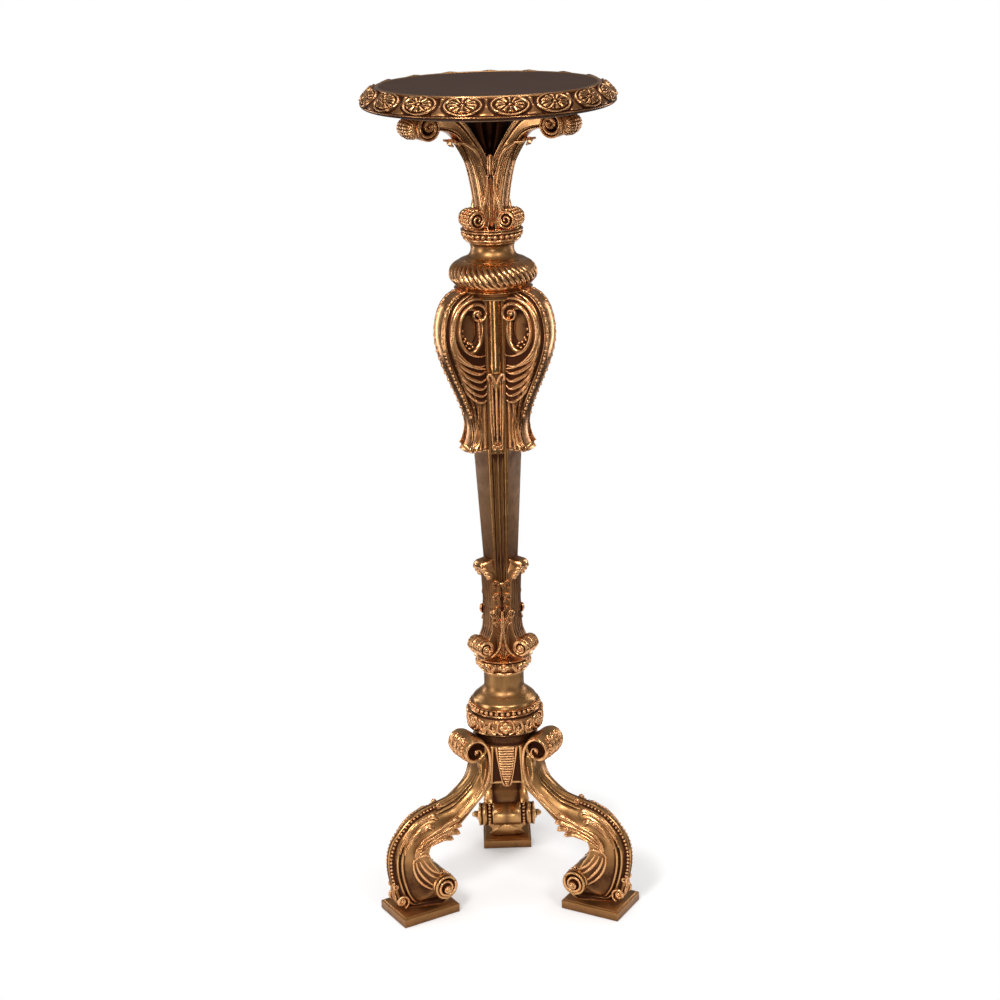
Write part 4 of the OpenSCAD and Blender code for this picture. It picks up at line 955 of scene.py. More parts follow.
def armPaintedShade(x, y, z):
    # painted shade in the two volutes' dishes, and on the side towards the column above the stem
    y = np.abs(y)
    upper = (nearest(x, z, [arm["volute"]]) < 15.4) * (y > 12) * (y < 26)
    lower = (nearest(x, z, [arm["lowVolute"]]) < 10.8) * (y > 8) * (y < 17.6)
    within = np.interp(z, armInner[:, 1], armInner[:, 0]) + 2.5
    return 0.9 * upper + 0.8 * lower + 0.8 * (z > 1150) * (x < within) + 0.08


armParts = [capped(grid) for grid in (armGrid, armVolute, shell, lowVolute)]
threefold(gathered("arm", armParts), sideTurns, "gilding_carved", "arm", paintedShade=armPaintedShade)
threefold(gathered("armCarving", armCarving), sideTurns, "gilding_carved")
threefold(berries("armBeads", armBerries), sideTurns, "gilding_carved")
lancets = []
for heights, out, half, lobes, notch in (((1092, 1166), (19.6, 18.8), 4.6, 0.01, 0),
                                         ((1168, 1199), (18.4, 23), 6.4, 2, 0.25)):
    spine = turnedTo(0, np.linspace(*out, 40), 0, np.linspace(*heights, 40))
    lancets.append(leaf(spine, forward, half * swelling(40, 0.1, 0.98, 0.6), 2.2,
                        lobes=lobes, notch=notch, lean=0.6, fibres=1, grain=0.7, cols=24))
threefold(gathered("lancets", lancets), gapTurns, "gilding_carved")
print("brackets made")

# bead ring, neck and gadroons under the head
upperRing = {"beads": 30, "beadLine": (43.2, 1080.2), "beadSize": 3.7,
             "outline": [(20, 1070), (38, 1070), (41, 1071), (43.4, 1073), (43.2, 1075.4), (41, 1077),
                         (41.2, 1081), (42.4, 1084), (46.2, 1084.8), (47, 1086), (46.2, 1087.2),
                         (42.5, 1088), (41.5, 1090), (20, 1090)]}
turnedPiece("upperBeadRing", curve(upperRing["outline"], 60), 128, "gilding_carved", "upper_bead_ring")
beadRing("upperBeads", upperRing)
neck = {"outline": [(9, 1042), (44, 1042), (44, 1043), (37.6, 1046.6), (33.4, 1052.8), (32.6, 1059.4),
                    (34.4, 1065.5), (38, 1070), (9, 1070)]}
turnedPiece("neck", curve(neck["outline"], 70), 128, "gilding_plain", "neck")
gadroon = {"lobes": 40, "twist": 0.34, "depth": 3.8, "from": 1006, "to": 1040, "inside": 47,
           "outline": [(9, 1000), (52, 1000), (55, 1001.5), (60.7, 1008), (65.7, 1013.9), (66.7, 1020.2),
                       (65.3, 1027.7), (60.2, 1034.4), (52.2, 1039.5), (44.7, 1042), (9, 1042)]}
outline = curve(gadroon["outline"], 72)
ring = turnedGrid(outline, gadroon["lobes"] * 12)
radius, height = outline[:, :1], outline[:, 1:]
twist = gadroon["twist"] * np.clip((height - gadroon["from"]) / (gadroon["to"] - gadroon["from"]), 0, 1)
lobe = np.abs(np.sin(gadroon["lobes"] / 2 * (roundTurn(ring.shape[1]) + twist))) ** 0.6
window = (ease(height, gadroon["from"], 1012) * (1 - ease(height, 1035, gadroon["to"]))
          * (radius > gadroon["inside"]))
ring += outward(ring) * ((lobe - 1) * gadroon["depth"] * window)[..., None]
finished(skin("gadroonRing", ring, ringRows=True), "gilding_carved", "gadroon_ring")
print("upper turning made")

# consoles: outer edge, height of the inner edge, then how thick the edge and the body are
console = {"inside": 29.5, "span": 66, "foot": 750, "rise": 250, "edge": 17, "body": 23, "cols": 50,
           "hollow": (54, 941), "hollowHalf": (20, 34), "hollowDepth": 9, "eye": (42.2, 965.2)}
consoleStations = [
    [0.266, 1.000, 0.985, 0.95, 0.95], [0.476, 0.992, 0.947, 1.00, 1.00], [0.686, 0.963, 0.906, 1.00, 1.00],
    [0.869, 0.902, 0.858, 1.00, 1.00], [0.974, 0.815, 0.790, 1.00, 1.00], [1.000, 0.733, 0.720, 1.00, 1.00],
    [0.960, 0.652, 0.644, 1.00, 1.00], [0.856, 0.562, 0.559, 1.00, 1.00], [0.677, 0.448, 0.448, 0.95, 1.00],
    [0.499, 0.344, 0.348, 0.90, 1.00], [0.350, 0.240, 0.248, 0.90, 1.00], [0.275, 0.142, 0.157, 0.90, 1.00],
    [0.290, 0.076, 0.095, 1.00, 1.00], [0.365, 0.032, 0.053, 1.10, 1.00], [0.424, 0.007, 0.024, 1.10, 1.00],
    [0.365, 0.000, 0.012, 1.00, 0.95]]


def shaftFace(z):
    # how far the shaft's wide faces stand from the axis
    return np.interp(z, [408, 571, 750, 1000], [21.5, 21.5, 29.5, 29.5])


def consoleRelief(d, back):
    # mouldings beside the string of husks
    d = d / np.minimum(1, consoleDepth / 40)
    return (0.6 * bump(d, 0, 1.5) - 2.2 * bump(d, 4.2, 2.2) + 1.2 * bump(d, 8.8, 1.6)
            - 1.6 * bump(d, 12.2, 1.8))


def inHollow(x, z):
    # 0 in the middle of the C's hollow, 1 on its brim
    return np.hypot((x - console["hollow"][0]) / console["hollowHalf"][0],
                    (z - console["hollow"][1]) / console["hollowHalf"][1])


consoleRows = spaced(consoleStations, 190, console, middle=False)
consoleOuter = edgeOf(consoleRows, 0, console)
innerHeight = console["foot"] + console["rise"] * consoleRows[:, 2]
consoleInner = np.stack([shaftFace(innerHeight) - 2, innerHeight], axis=1)
consoleDepth = np.linalg.norm(consoleInner - consoleOuter, axis=1)[:, None]
consoleGrid = bracket(
    consoleOuter, consoleInner, consoleRows[:, 3] * console["edge"], consoleRows[:, 4] * console["body"],
    np.linspace(0, 1, console["cols"]), consoleRelief,
    lambda t: 2.6 * (1 - t ** 2) - 1.8 * bump(np.abs(t), 0.66, 0.07) - bump(np.abs(t), 0.95, 0.05),
    lambda t: 0 * t, faceCols=36)
x, y, z = (consoleGrid[..., k] for k in range(3))
y -= np.sign(y) * console["hollowDepth"] * (1 - ease(inHollow(x, z), 0.74, 0.98)) * (np.abs(y) > 15.5)
flutes = (1 - ease(z, 812, 836)) * (np.abs(y) > 15)
y += np.sign(y) * flutes * (0.9 * np.cos((x - 34) * 0.75) - 0.6)
consoleCarving, consoleBerries = [], []


def onConsole(points, count, lift, least=20.0):
    return draped(consoleGrid, console["cols"], curve(points, count), lift, least)


# the C's outer and inner line, the second ending in a curl round an eye
cOuter = onConsole([(31, 880), (46, 884), (60, 892), (73, 905), (81, 921), (84, 940), (81.5, 959),
                    (74.5, 973), (63.5, 983), (49, 988.5), (36, 987.5), (30, 982)], 90, 0.6)
cInner = onConsole([(31, 902), (42, 901), (54, 905), (65, 914), (72, 927), (74, 943), (71.5, 959), (64, 972),
                    (53, 979.5), (42, 980.5), (32.6, 975.5), (28.6, 967), (31.6, 958.4), (39.6, 955),
                    (46.6, 958.6), (48.4, 965.4), (44.6, 970.2), (39.4, 969.4), (38.2, 965)], 130, 1.4, 21.0)
arc = np.sin(np.pi * np.linspace(0, 1, 90))
consoleCarving += both(strand(cOuter, sideways, 0.8 + 3.2 * arc ** 0.6, 2.4 + 2.2 * arc))
consoleCarving += both(strand(cInner, sideways,
                              share(130, [0, 0.15, 0.5, 0.75, 1], [0.8, 2.6, 3.0, 2.3, 1.5]),
                              share(130, [0, 0.15, 0.6, 1], [2.0, 3.6, 4.0, 3.4])))
consoleBerries += twoBerries(console["eye"][0], 23.5, console["eye"][1], 3.4)

# upright fillet and berries inside the hollow
upright = onSide(curve([(38.5, 952), (38, 930), (38.5, 908)], 30), 18.2)
consoleCarving += both(strand(upright, sideways, 2.4, 3.4))
for x, z in ((48, 915), (54, 913), (51, 920), (60, 918), (56, 922), (63, 926), (66, 934), (60.5, 929),
             (65, 942)):
    consoleBerries += twoBerries(x, 15.8, z, 2.6)

# acanthus strands that sweep from the outer edge to the bar
for points, width in (
        ([(87, 934), (83.5, 914), (73.5, 899), (58, 889), (44, 885), (32, 886)], 2.6),
        ([(86, 922), (80, 902), (68, 887), (53, 877), (40, 873.5), (31, 877)], 3.0),
        ([(83, 905), (74, 886), (62, 872.5), (48, 864), (38, 861.5), (30.5, 866)], 2.8),
        ([(80, 892), (70, 873), (58.5, 860), (46, 852), (37, 850), (30.5, 855)], 3.0),
        ([(75, 877), (65, 859), (54.5, 847.5), (44, 840.5), (36, 839), (30.5, 843)], 2.6),
        ([(70, 862), (61, 846), (52, 836), (43.5, 830), (36, 829), (31, 832)], 2.2)):
    height = width + 1
    consoleCarving += both(strand(onConsole(points, 50, 0.2, 18), sideways,
                                  share(50, [0, 0.35, 0.8, 1], [0.5, 0.8 * width, width, 0.9]),
                                  share(50, [0, 0.4, 0.8, 1], [1.2, 0.8 * height, height, 1.8])))

# the tail's leaf with its curled tip
for points, half in (([(45, 822), (42.5, 806), (40.5, 790), (41, 776), (45, 764), (51, 757.5)], 4.6),
                     ([(52, 824), (48, 808), (45.5, 792), (46.5, 778), (50.5, 766), (55, 760)], 3.2)):
    consoleCarving += both(leaf(onConsole(points, 44, 0.2, 18), sideways,
                                half * share(44, [0, 0.4, 1], [0.3, 0.8, 1]), 2.0,
                                lobes=2, notch=0.2, lean=0.5, fibres=1, grain=0.8))
tip = curve([(45, 788), (45.4, 775), (49, 764), (54, 758.5), (55.6, 755), (53, 752.6)], 30)
consoleCarving.append(leaf(onSide(tip, 0.0), [1.0, 0, 0.2], 15.5 * np.linspace(0.8, 1, 30), 2.0,
                           lobes=1.5, notch=0.15, lean=0.2, fibres=3.5, grain=1.1, cols=40))

# the string of husks and beads along the outer edge
string = {"places": 36, "aside": 11.8, "husksAbove": 905, "sizes": (1.9, 2.9)}
places = evened(consoleOuter[6:-40], string["places"])
for k, (x, z) in enumerate(places):
    aside = string["aside"] * (1.0 if z > 870 else 0.93)
    consoleBerries += twoBerries(x + 0.9, aside, z, string["sizes"][k % 2])
    if z > string["husksAbove"] and k % 2 == 0:
        ahead = places[min(k + 1, string["places"] - 1)] - places[max(k - 1, 0)]
        path = np.array([x + 0.5, z]) + unit(ahead) * np.linspace(-4.6, 4.6, 12)[:, None]
        away = unit(np.array([-ahead[1], 0, ahead[0]]))
        away = away * np.sign(away[0])
        consoleCarving += both(strand(onSide(path, string["aside"]), away, (0.5, 2.4, 0.5), 1.8))


def consolePaintedShade(x, y, z):
    # painted shade in the C's hollow and between the strands, and beside the string of husks
    flank = np.abs(y) > 16
    beside = bump(np.abs(y), 11.4, 2.4) * (x > 44)
    hollow = 1 - ease(inHollow(x, z), 0.8, 1.05)
    return flank * (0.34 + 0.56 * hollow) * ease(z, 812, 840) + 0.2 * flank + 0.7 * beside


threefold(gathered("console", [capped(consoleGrid)]), sideTurns, "gilding_carved", "console",
          paintedShade=consolePaintedShade)
threefold(gathered("consoleCarving", consoleCarving), sideTurns, "gilding_carved")
threefold(berries("consoleBeads", consoleBerries), sideTurns, "gilding_carved")
cove = {"outline": [(20, 999.6), (57, 999.6), (56, 998), (51, 995.5), (46, 991), (43, 985), (20, 985)]}
turnedPiece("headCove", curve(cove["outline"], 40), 120, "gilding_burnished")
print("consoles made")

# shaft with a sunk channel on each narrow face
shaft = {"foot": 408, "top": 1000, "rows": 100, "wide": 0.78, "channelFrom": (500, 512),
         "channelTo": (742, 752)}
levels = np.linspace(shaft["foot"], shaft["top"], shaft["rows"])[:, None]
reach = shaftFace(levels)
half = reach * shaft["wide"]
openReach, openHalf = openFace(reach, half)
sunk = ease(levels, *shaft["channelFrom"]) * (1 - ease(levels, *shaft["channelTo"]))
acrossWide = np.linspace(-1, 1, 15)
acrossOpen = np.r_[-0.97, np.linspace(-0.9, 0.9, 33), 0.97]
away = np.abs(acrossOpen)
well = 3 * (1 - ease(away, 0.66, 0.74)) - 2.2 * bump(acrossOpen, 0, 0.12) - 0.9 * bump(away, 0.5, 0.08)
rings = []
for turn in (0, 120, 240):
    rings.append(turnedTo(90 + turn, reach + 0.5 * (1 - acrossWide ** 2), half * acrossWide, levels))
    rings.append(turnedTo(150 + turn, openReach - sunk * well + 0.5 * bump(away, 0.84, 0.08),
                          openHalf * acrossOpen, levels))


def shaftPaintedShade(x, y, z):
    # painted shade, deeper at both ends, and a little less of it in the channels
    channel = np.sin(3 * np.arctan2(y, x)) > 0.55
    return (0.29 + 0.08 * (1 - ease(z, 570, 640)) + 0.08 * ease(z, 690, 750)) * (1 - 0.1 * channel)


shaftPiece = skin("shaft", capped(np.concatenate(rings, axis=1)))
finished(shaftPiece, "gilding_burnished", "shaft", paintedShade=shaftPaintedShade)

# what hangs in the channels between the consoles: a half bar above a string of husks
channelFace = 34.7
husk = []
for side in (-1, 1):
    for count, out, width, height, points in (
            (60, (4, 5), (1.6, 2.8, 1.6), 3.4,
             [(0.2, 852), (2.6, 861), (6.6, 870), (10.6, 872), (12.6, 867), (11, 862.5)]),
            (60, (0.8, 0.8), (1.0, 1.8, 1.2), 2.6, [(9.6, 866), (9.8, 840), (8.8, 795), (7.4, 762)]),
            (50, (2.2, 0.8), (0.8, 1.6, 1.0), 2.2,
             [(1.6, 858), (5.4, 862), (6.4, 850), (5.8, 820), (4.6, 775)])):
        path = onFace(curve(points, count) * [side, 1], channelFace + np.linspace(*out, count))
        husk.append(strand(path, forward, width, height))
    curl = spiral((0, 758), 5.4, 1.4, 1.2, 160, 30) * [0.7 * side, 1] + [5.2 * side, 0]
    husk.append(strand(onFace(curl, channelFace + 1.4), forward, (1.0, 1.8, 1.1), 2.2))
rib = curve([(0, 858), (0, 800), (0, 764)], 40)
husk.append(strand(onFace(rib, channelFace + 1.4), forward, (1.2, 2.2, 1.0), 2.4))
plate = turnedTo(0, channelFace - 0.6, 0, np.linspace(858, 760, 30))
husk.append(leaf(plate, forward, 9.5 * share(30, [0, 0.1, 1], [0.4, 1, 0.74]), 1.0))
# painted shade on the husk string, deeper below the half bar
threefold(gathered("husk", husk), gapTurns, "gilding_carved", "husk",
          paintedShade=lambda x, y, z: 0.4 * (1 - ease(z, 845, 862)) + 0.1)
turn = roundTurn(32)
barLevels = np.r_[871.2, 871.8, 873, 875, 878, np.linspace(884, 992, 20)][:, None]
barSize = np.r_[3, 5.5, 7.6, 9, 9.7, np.full(20, 10)][:, None]
bar = turnedTo(0, channelFace - 1.5 + 0.96 * barSize * np.cos(turn), barSize * np.sin(turn), barLevels)
threefold(gathered("halfBar", [capped(bar)]), gapTurns, "gilding_burnished")
print("shaft made")

# fluted pilasters with a leaf curl above and a volute below, with stations as the consoles have
pilaster = {"foot": 408, "span": 50, "rise": 163, "half": 16.77, "waist": 26.5, "lowSpread": 71.2,
            "topSpread": 31.7, "least": 22.5, "back": 20.5, "volute": (41, 427.5), "flutes": 5}
pilasterStations = [
    [0.36, 0.000, 0.000, 0.90, 1.0], [0.30, 0.100, 0.100, 0.90, 1.0], [0.22, 0.190, 0.180, 0.90, 1.0],
    [0.13, 0.280, 0.270, 0.90, 1.0], [0.10, 0.420, 0.410, 0.90, 1.0], [0.10, 0.580, 0.570, 0.85, 1.0],
    [0.13, 0.720, 0.710, 0.85, 1.0], [0.20, 0.830, 0.820, 0.80, 1.0], [0.46, 0.900, 0.880, 0.75, 1.0],
    [0.62, 0.945, 0.920, 0.65, 0.9], [0.50, 0.990, 0.965, 0.50, 0.8], [0.12, 1.000, 1.000, 0.40, 0.7]]
rows = spaced(pilasterStations, 120, pilaster, middle=False)
spread = np.where(rows[:, 1] < 0.5, pilaster["lowSpread"], pilaster["topSpread"]) * (rows[:, 0] - 0.1)
outer, inner = (np.stack([away, pilaster["foot"] + pilaster["rise"] * up], axis=1) for away, up in (
    (np.maximum(pilaster["least"], pilaster["waist"] + spread), rows[:, 1]),
    (np.full(len(rows), pilaster["back"]), np.minimum(1, rows[:, 2]))))
flutes = (ease(rows[:, 1], 0.12, 0.24) * (1 - ease(rows[:, 1], 0.80, 0.88)))[:, None]


def fluted(t):
    ridges = np.abs(np.cos(np.pi * pilaster["flutes"] / 2 * t)) ** 0.5 - 0.8
    return 1.2 * (1 - t ** 2) + flutes * 1.1 * ridges


pilasterGrid = bracket(outer, inner, rows[:, 3] * pilaster["half"], rows[:, 4] * pilaster["half"],
                       np.linspace(0, 1, 14), lambda d, back: 0 * d, fluted, lambda t: 0 * t, faceCols=44)
volute = roll(pilaster["volute"], [(0, 13.0), (9, 13.2), (13.4, 12.8), (15, 12.0), (16.6, 13.0), (18.8, 13.3),
                                   (20.2, 12.4), (20.7, 11), (19.8, 9.6), (18, 8.8), (17, 6), (17, 0.01)], 56)
curl = spiral(pilaster["volute"], 11.6, 2.2, 1.5, 30, 60)
pilasterCarving = both(strand(onSide(curl, 18.6), sideways, (1.2, 2.1, 1.4), 2.5))
pilasterBerries = twoBerries(pilaster["volute"][0], 18.8, pilaster["volute"][1], 4.6)
for x, y, z, size in ((37.4, 11.6, 558, 5.8), (34, 13, 551.4, 5.4), (30.4, 13.2, 544.6, 4.6)):
    pilasterBerries += twoBerries(x, y, z, size)
rollLine, rollNormal = onRoll(pilaster["volute"], (13.0, 13.2), (125, -50), 30)
for y in (-7.5, 7.5):
    pilasterCarving.append(leaf(rollLine + [0, y, 0], rollNormal, 7.4 * swelling(30, 0.15, 1, 0.5), 1.6,
                                lobes=3, notch=0.2, lean=0.4, fibres=1.5, grain=0.6))
tip = onSide(curve([(25, 524), (26.2, 541), (29, 553), (34.4, 561.5), (38.6, 563.6), (40.4, 560),
                    (37.8, 556.4)], 44), 0.0)
tipHalf = 14.6 * share(44, [0, 0.35, 0.7, 0.88, 1], [0.35, 0.62, 0.9, 1, 0.75])
pilasterCarving.append(leaf(tip, curlNormals(tip), tipHalf, 2.4, lobes=2.5, notch=0.2, lean=0.25,
                            fibres=2.5, grain=1.4, cols=44))
# painted shade: the pilasters dim all over and more so at the foot
threefold(gathered("pilaster", [capped(pilasterGrid), capped(volute)]), sideTurns, "gilding_carved",
          "pilaster", paintedShade=lambda x, y, z: 0.22 + 0.12 * (1 - ease(z, 445, 470)))
# painted shade on the pilasters' leaves, deeper at the foot
threefold(gathered("pilasterCarving", pilasterCarving), sideTurns, "gilding_carved",
          paintedShade=lambda x, y, z: 0.16 * (1 - ease(z, 450, 500)))
threefold(berries("pilasterBeads", pilasterBerries), sideTurns, "gilding_carved")

# acanthus in the channels between the pilasters
acanthus = []
for side in (-1, 1):
    for half, lobes, out, points in (
            (3.4, 3, (25.5, 26.6, 25.6), [(2, 512), (2.4, 522), (4.4, 531), (8, 536), (10.6, 532),
                                          (10.4, 526)]),
            (3.4, 3, (25.5, 26.8, 25.8), [(2.2, 494), (3.2, 503), (5.6, 511), (8.8, 515), (11, 511),
                                          (10.4, 506)]),
            (2.4, 2, (25.5, 27, 26.5), [(1.2, 485), (4, 491), (7.6, 494), (9.6, 490)]),
            (4.4, 3, (27, 28.5, 28.5), [(0.8, 444), (1.8, 456), (4.4, 468), (9, 480), (12.6, 486), (14.6, 483),
                                        (13.4, 477)]),
            (3.2, 2, (27, 28, 28), [(2.4, 440), (5.6, 452), (8, 462), (10.4, 468), (12, 465)])):
        path = onFace(curve(points, 44) * [side, 1], share(44, [0, 0.6, 1], out))
        width = half * share(44, [0, 0.5, 0.85, 1], [0.4, 0.8, 1, 0.6])
        acanthus.append(leaf(path, forward, width, 2.6,
                             lobes=lobes, notch=0.2, lean=0.8, fibres=1.5, grain=0.9))
    stem = curve([(0.9, 486), (1.4, 470), (1.6, 452), (4, 434), (10, 421), (19, 413)], 50) * [side, 1]
    acanthus.append(strand(onFace(stem, np.linspace(28, 34, 50)), forward, (1, 2.2, 1.4), 2.6))
for x, top in ((-6, 424), (0, 437), (6, 424)):
    path = curve([(x * 0.3, 409), (x * 0.7, 418), (x, top)], 24)
    acanthus.append(leaf(onFace(path, 32), forward, 3.4 * swelling(24, 0.2, 1, 0.6), 2.4,
                         lobes=1, notch=0.1, lean=0.3, fibres=1, grain=0.6))
plate = curve([(0, 409), (0, 470), (0, 534)], 40)
acanthus.append(leaf(onFace(plate, 24.8), forward, np.linspace(9.5, 7, 40), 1.0))
# painted shade on the plate's middle strip between the leaves, and a little all over
threefold(gathered("acanthus", acanthus), gapTurns, "gilding_carved", "leaf",
          paintedShade=lambda x, y, z: 0.9 * (x < 27) * (np.abs(y) < 3.5) + 0.15)
print("lower capital made")

# berry collar: twelve sprigs, a bunch of berries and a pair of leaves by turns
collar = {"outline": [(6, 382), (34.5, 382), (36.5, 383), (36.8, 384.6), (34.6, 386), (36.5, 388), (39.5, 392),
                      (41.5, 396.5), (41.5, 400.5), (40.2, 403), (41.6, 404.2), (44.4, 405.2), (44.6, 406.8),
                      (43.5, 408), (6, 408)],
          "bunch": [(-5.4, 397.6, 41.2, 4.6), (5.4, 397.6, 41.2, 4.6), (0, 394.2, 40.6, 4.8),
                    (0, 401.4, 41, 3.6)]}
# painted shade round the middle of the collar, where the sprigs stand
turnedPiece("berryCollar", curve(collar["outline"], 64), 160, "gilding_carved", "berry_collar",
            paintedShade=lambda x, y, z: 0.6 * bump(z, 396, 7))
collarBerries, collarLeaves = [], []
up = np.linspace(0, 1, 20)
for angle in range(270, 630, 60):
    for aside, z, out, size in collar["bunch"]:
        collarBerries.append((*turnedTo(angle, out, aside, z), size))
    for lean in (-1, 1):
        aside = lean * (2 + 6.5 * up ** 1.4)
        path = turnedTo(angle + 30, 41 + 1.5 * np.sin(up * np.pi), aside, 388 + up * 13.5)
        collarLeaves.append(leaf(path, turnedTo(angle + 30, 1, 0, 0), 3.2 * swelling(20, 0.15, 0.95, 0.6),
                                 1.6, lean=0.5, fibres=1.5, grain=0.6, cols=14))
finished(berries("collarBeads", collarBerries), "gilding_carved")
finished(gathered("collarLeaves", collarLeaves), "gilding_carved")

# vase and the bead ring under it
vase = {"shoulder": 51.5, "neck": 31.7, "foot": 328, "rise": 54, "bore": 6,
        "outline": [(0.975, 0), (1, 0.03), (0.93, 0.122), (0.72, 0.197), (0.51, 0.263), (0.29, 0.321),
                    (0.15, 0.38), (0.04, 0.456), (0, 0.54), (0, 0.705), (0, 0.85), (0.005, 0.95), (0.02, 1)]}
outline = curve([(vase["neck"] + (vase["shoulder"] - vase["neck"]) * out, vase["foot"] + vase["rise"] * up)
                 for out, up in vase["outline"]], 60)
ends = [[(vase["bore"], vase["foot"] + up)] for up in (0, vase["rise"])]
# painted shade: the vase a little dim all over
turnedPiece("vase", np.vstack([ends[0], outline, ends[1]]), 144, "gilding_plain", "vase",
            paintedShade=lambda x, y, z: 0.16)
lowerRing = {"beads": 38, "beadLine": (54.2, 323.4), "beadSize": 3.5,
             "outline": [(6, 318), (52, 318), (53, 318.8), (51.8, 320), (50.6, 322), (50.6, 325), (52, 326.6),
                         (52, 328), (6, 328)]}
turnedPiece("lowerBeadRing", curve(lowerRing["outline"], 60), 144, "gilding_carved", "lower_bead_ring")
beadRing("lowerBeads", lowerRing)

# carved band: six flowers of four berries, with strapwork and leaves between
band = {"radius": 61, "flowers": 6,
        "outline": [(6, 288), (57, 288), (58.4, 289.4), (58.2, 291), (59.6, 293.5), (60.6, 297.5), (61, 302),
                    (60, 307.5), (57.6, 312), (55, 315), (54, 316.6), (52.6, 318), (6, 318)],
        "flower": [(0, 307.6, 58.2), (0, 297.6, 59.6), (-5.6, 302.6, 59.4), (5.6, 302.6, 59.4)],
        "straps": [(1.2, [(2, 315), (10, 313), (13.6, 304), (12, 295), (5, 291)]),
                   (1.6, [(17.5, 313), (25.5, 309), (28, 301), (23.5, 295), (19.5, 299), (22, 303.5)])],
        "leaves": [[(14, 294), (18, 302), (19, 311)], [(22, 293), (28, 296), (31, 303)],
                   [(16, 291), (23, 291.4), (30, 292)]]}
# painted shade on the middle of the band, behind the flowers
turnedPiece("carvedBand", curve(band["outline"], 60), 240, "gilding_carved", "carved_band",
            paintedShade=lambda x, y, z: 0.8 * bump(z, 303, 12))


def wrapped(points, reach, middle):
    # a (sideways, height) path laid round the band from an angle on, and its normals
    angle = math.radians(middle) + points[:, 0] / band["radius"]
    normals = np.stack([np.cos(angle), np.sin(angle), 0 * angle], axis=1)
    return normals * reach + np.outer(points[:, 1], [0, 0, 1]), normals


bandBerries, bandLeaves = [], []
for middle in range(270, 630, 360 // band["flowers"]):
    for x, z, out in band["flower"]:
        bandBerries.append((*wrapped(np.array([(x, z)]), out, middle)[0][0], 5.6))
    for side in (-1, 1):
        for endWidth, points in band["straps"]:
            path, normals = wrapped(curve(points, 40) * [side, 1], 60.2, middle)
            bandLeaves.append(strand(path, normals, (1, 2.2, endWidth), 2.2))
        for points in band["leaves"]:
            path, normals = wrapped(curve(points, 20) * [side, 1], 59.8, middle)
            bandLeaves.append(leaf(path, normals, 3.2 * swelling(20, 0.2, 0.95, 0.6), 1.4,
                                   lean=0.6, fibres=1.5, grain=0.7, cols=14))
finished(berries("bandBerries", bandBerries), "gilding_carved")
finished(gathered("bandLeaves", bandLeaves), "gilding_carved")
print("lower turning made")

# camera
view = {"place": (-0.0317, -3.0272 - axisAhead, 1.6383), "turn": -0.6, "tilt": 72.13, "roll": -1.55,
        "lens": 73.83, "sensor": 36, "shift": (0.0009, -0.0005)}
cameraData = bpy.data.cameras.new("camera")
camera = bpy.data.objects.new("camera", cameraData)
bpy.context.collection.objects.link(camera)
camera.matrix_world = Matrix.Translation(view["place"])
for key, axis in (("turn", "Z"), ("tilt", "X"), ("roll", "Z")):
    camera.matrix_world = camera.matrix_world @ Matrix.Rotation(math.radians(view[key]), 4, axis)
cameraData.lens = view["lens"]
cameraData.sensor_width = view["sensor"]
cameraData.shift_x, cameraData.shift_y = view["shift"]
bpy.context.scene.camera = camera
bpy.context.scene.view_settings.view_transform = "Standard"

# lamps: place, height they aim at, width and height, power
lamps = {
    "softboxLeft": ((-0.85, -2.05, 2.2), 0.75, (0.5, 0.7), 42),
    "softboxRight": ((1.05, -2.0, 2.1), 0.75, (0.45, 0.65), 18),
    "low": ((-0.1, -2.6, 0.35), 0.75, (0.45, 0.6), 7),
    "overhead": ((0, 0.2, 3.0), 0.8, (1.1, 1.1), 13),
    "stripLeft": ((-1.95, -0.75, 0.5), 0.6, (0.5, 1.3), 11),
    "stripRight": ((1.95, -0.6, 0.5), 0.6, (0.3, 1.2), 2.5),
    "rearLeft": ((-1.35, 0.95, 0.75), 0.65, (0.25, 1.4), 6),
    "rearRight": ((1.35, 0.95, 0.75), 0.65, (0.25, 1.4), 6)}
for name, (spot, aim, size, power) in lamps.items():
    lamp = bpy.data.lights.new(name, "AREA")
    lamp.shape = "RECTANGLE"
    lamp.size, lamp.size_y = size
    lamp.energy = power
    holder = bpy.data.objects.new(name, lamp)
    bpy.context.collection.objects.link(holder)
    holder.location = spot
    holder.rotation_euler = (Vector((0, 0, aim)) - Vector(spot)).to_track_quat("-Z", "Y").to_euler()
    holder.visible_camera = False

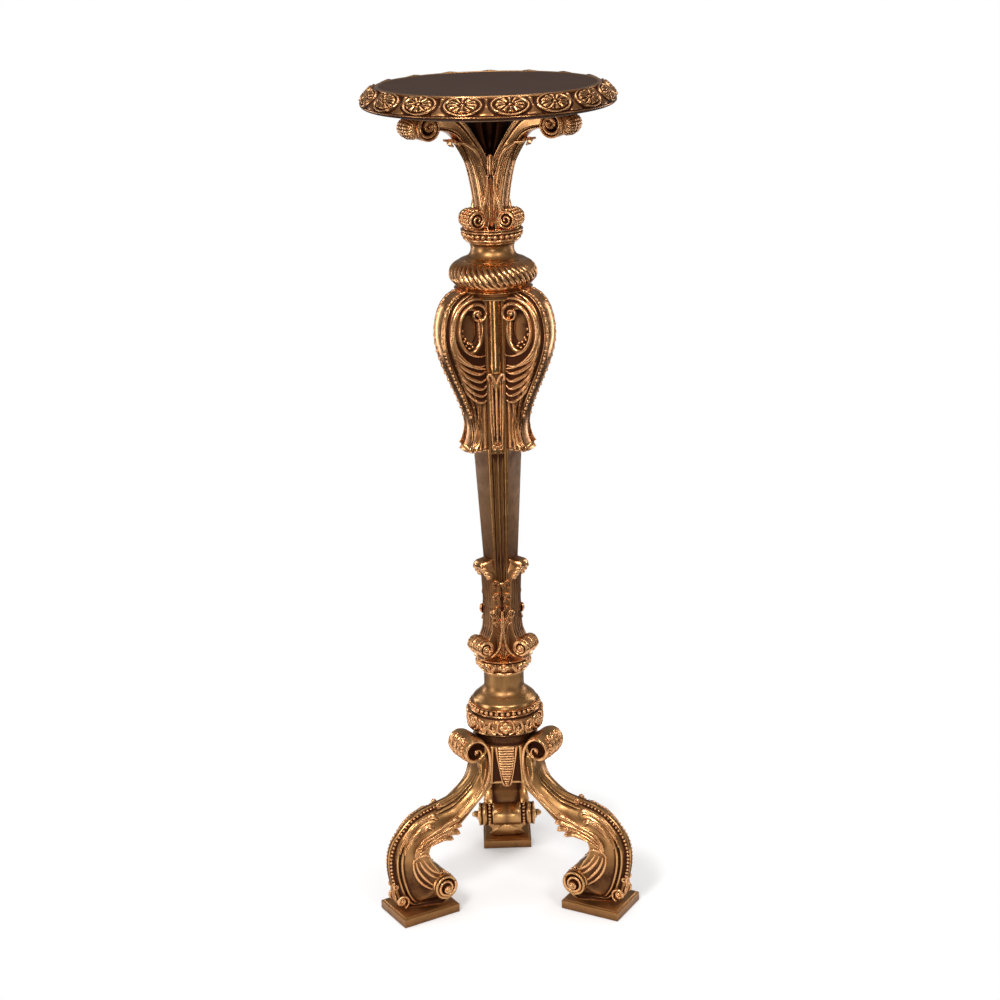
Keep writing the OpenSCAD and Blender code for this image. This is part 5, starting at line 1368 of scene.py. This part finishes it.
# a dim room with a white backdrop behind the stand
room = {"low": 0.05, "high": 0.30, "diffuse": 0.5, "backdrop": (0, 0.952, -0.306), "backdropEdge": 0.93,
        "backdropSharpness": 20, "rise": 1.6}
world = bpy.data.worlds.new("room")
world.use_nodes = True
bpy.context.scene.world = world
tree = world.node_tree
plus, minus, times, greatest = sumsOf(tree)
sight = tree.nodes.new("ShaderNodeLightPath").outputs
way = tree.nodes.new("ShaderNodeTexCoord").outputs["Generated"]
facing = addNode(tree, "ShaderNodeVectorMath", operation="DOT_PRODUCT")
tree.links.new(way, facing.inputs[0])
facing.inputs[1].default_value = room["backdrop"]
backdrop = times(minus(facing.outputs["Value"], room["backdropEdge"]), room["backdropSharpness"], clamp=True)
seen = plus(sight["Is Glossy Ray"], sight["Is Transmission Ray"], clamp=True)
white = greatest(sight["Is Camera Ray"], times(seen, backdrop))
height = addNode(tree, "ShaderNodeSeparateXYZ")
tree.links.new(way, height.inputs[0])
rising = arithmetic(tree, "POWER", plus(times(height.outputs["Z"], 0.5), 0.5), room["rise"])
shade = plus(times(rising, room["high"] - room["low"]), room["low"])
plain = times(minus(1.0, seen), room["diffuse"])
tree.links.new(greatest(white, greatest(shade, plain)), tree.nodes["Background"].inputs["Strength"])
tree.nodes["Background"].inputs["Color"].default_value = (1, 1, 1, 1)

# a round floor that turns as white as the backdrop towards its edge
bpy.ops.object.select_all(action="DESELECT")
bpy.ops.mesh.primitive_circle_add(vertices=96, radius=0.7, fill_type="NGON", location=(0, 0, -0.0005))
floor = bpy.context.object
floor.name = "floor"
floorMaterial, tree, shader = newMaterial("paleFloor")
for socket, value in (("Base Color", (0.8, 0.8, 0.8, 1)), ("Roughness", 0.9), ("Specular IOR Level", 0.0),
                      ("Emission Color", (1, 1, 1, 1))):
    shader[socket].default_value = value
plus, _, times, _ = sumsOf(tree)
sight = tree.nodes.new("ShaderNodeLightPath").outputs
seen = plus(plus(sight["Is Camera Ray"], sight["Is Glossy Ray"]), sight["Is Transmission Ray"], clamp=True)
distance = addNode(tree, "ShaderNodeVectorMath", operation="LENGTH")
tree.links.new(tree.nodes.new("ShaderNodeTexCoord").outputs["Object"], distance.inputs[0])
whiter = addNode(tree, "ShaderNodeMapRange", interpolation_type="SMOOTHSTEP")
tree.links.new(distance.outputs["Value"], whiter.inputs["Value"])
for socket, value in (("From Min", 0.25), ("From Max", 0.66), ("To Min", 0.2), ("To Max", 0.7)):
    whiter.inputs[socket].default_value = value
tree.links.new(times(seen, whiter.outputs["Result"]), shader["Emission Strength"])
floor.data.materials.append(floorMaterial)
print("camera, light and floor set")
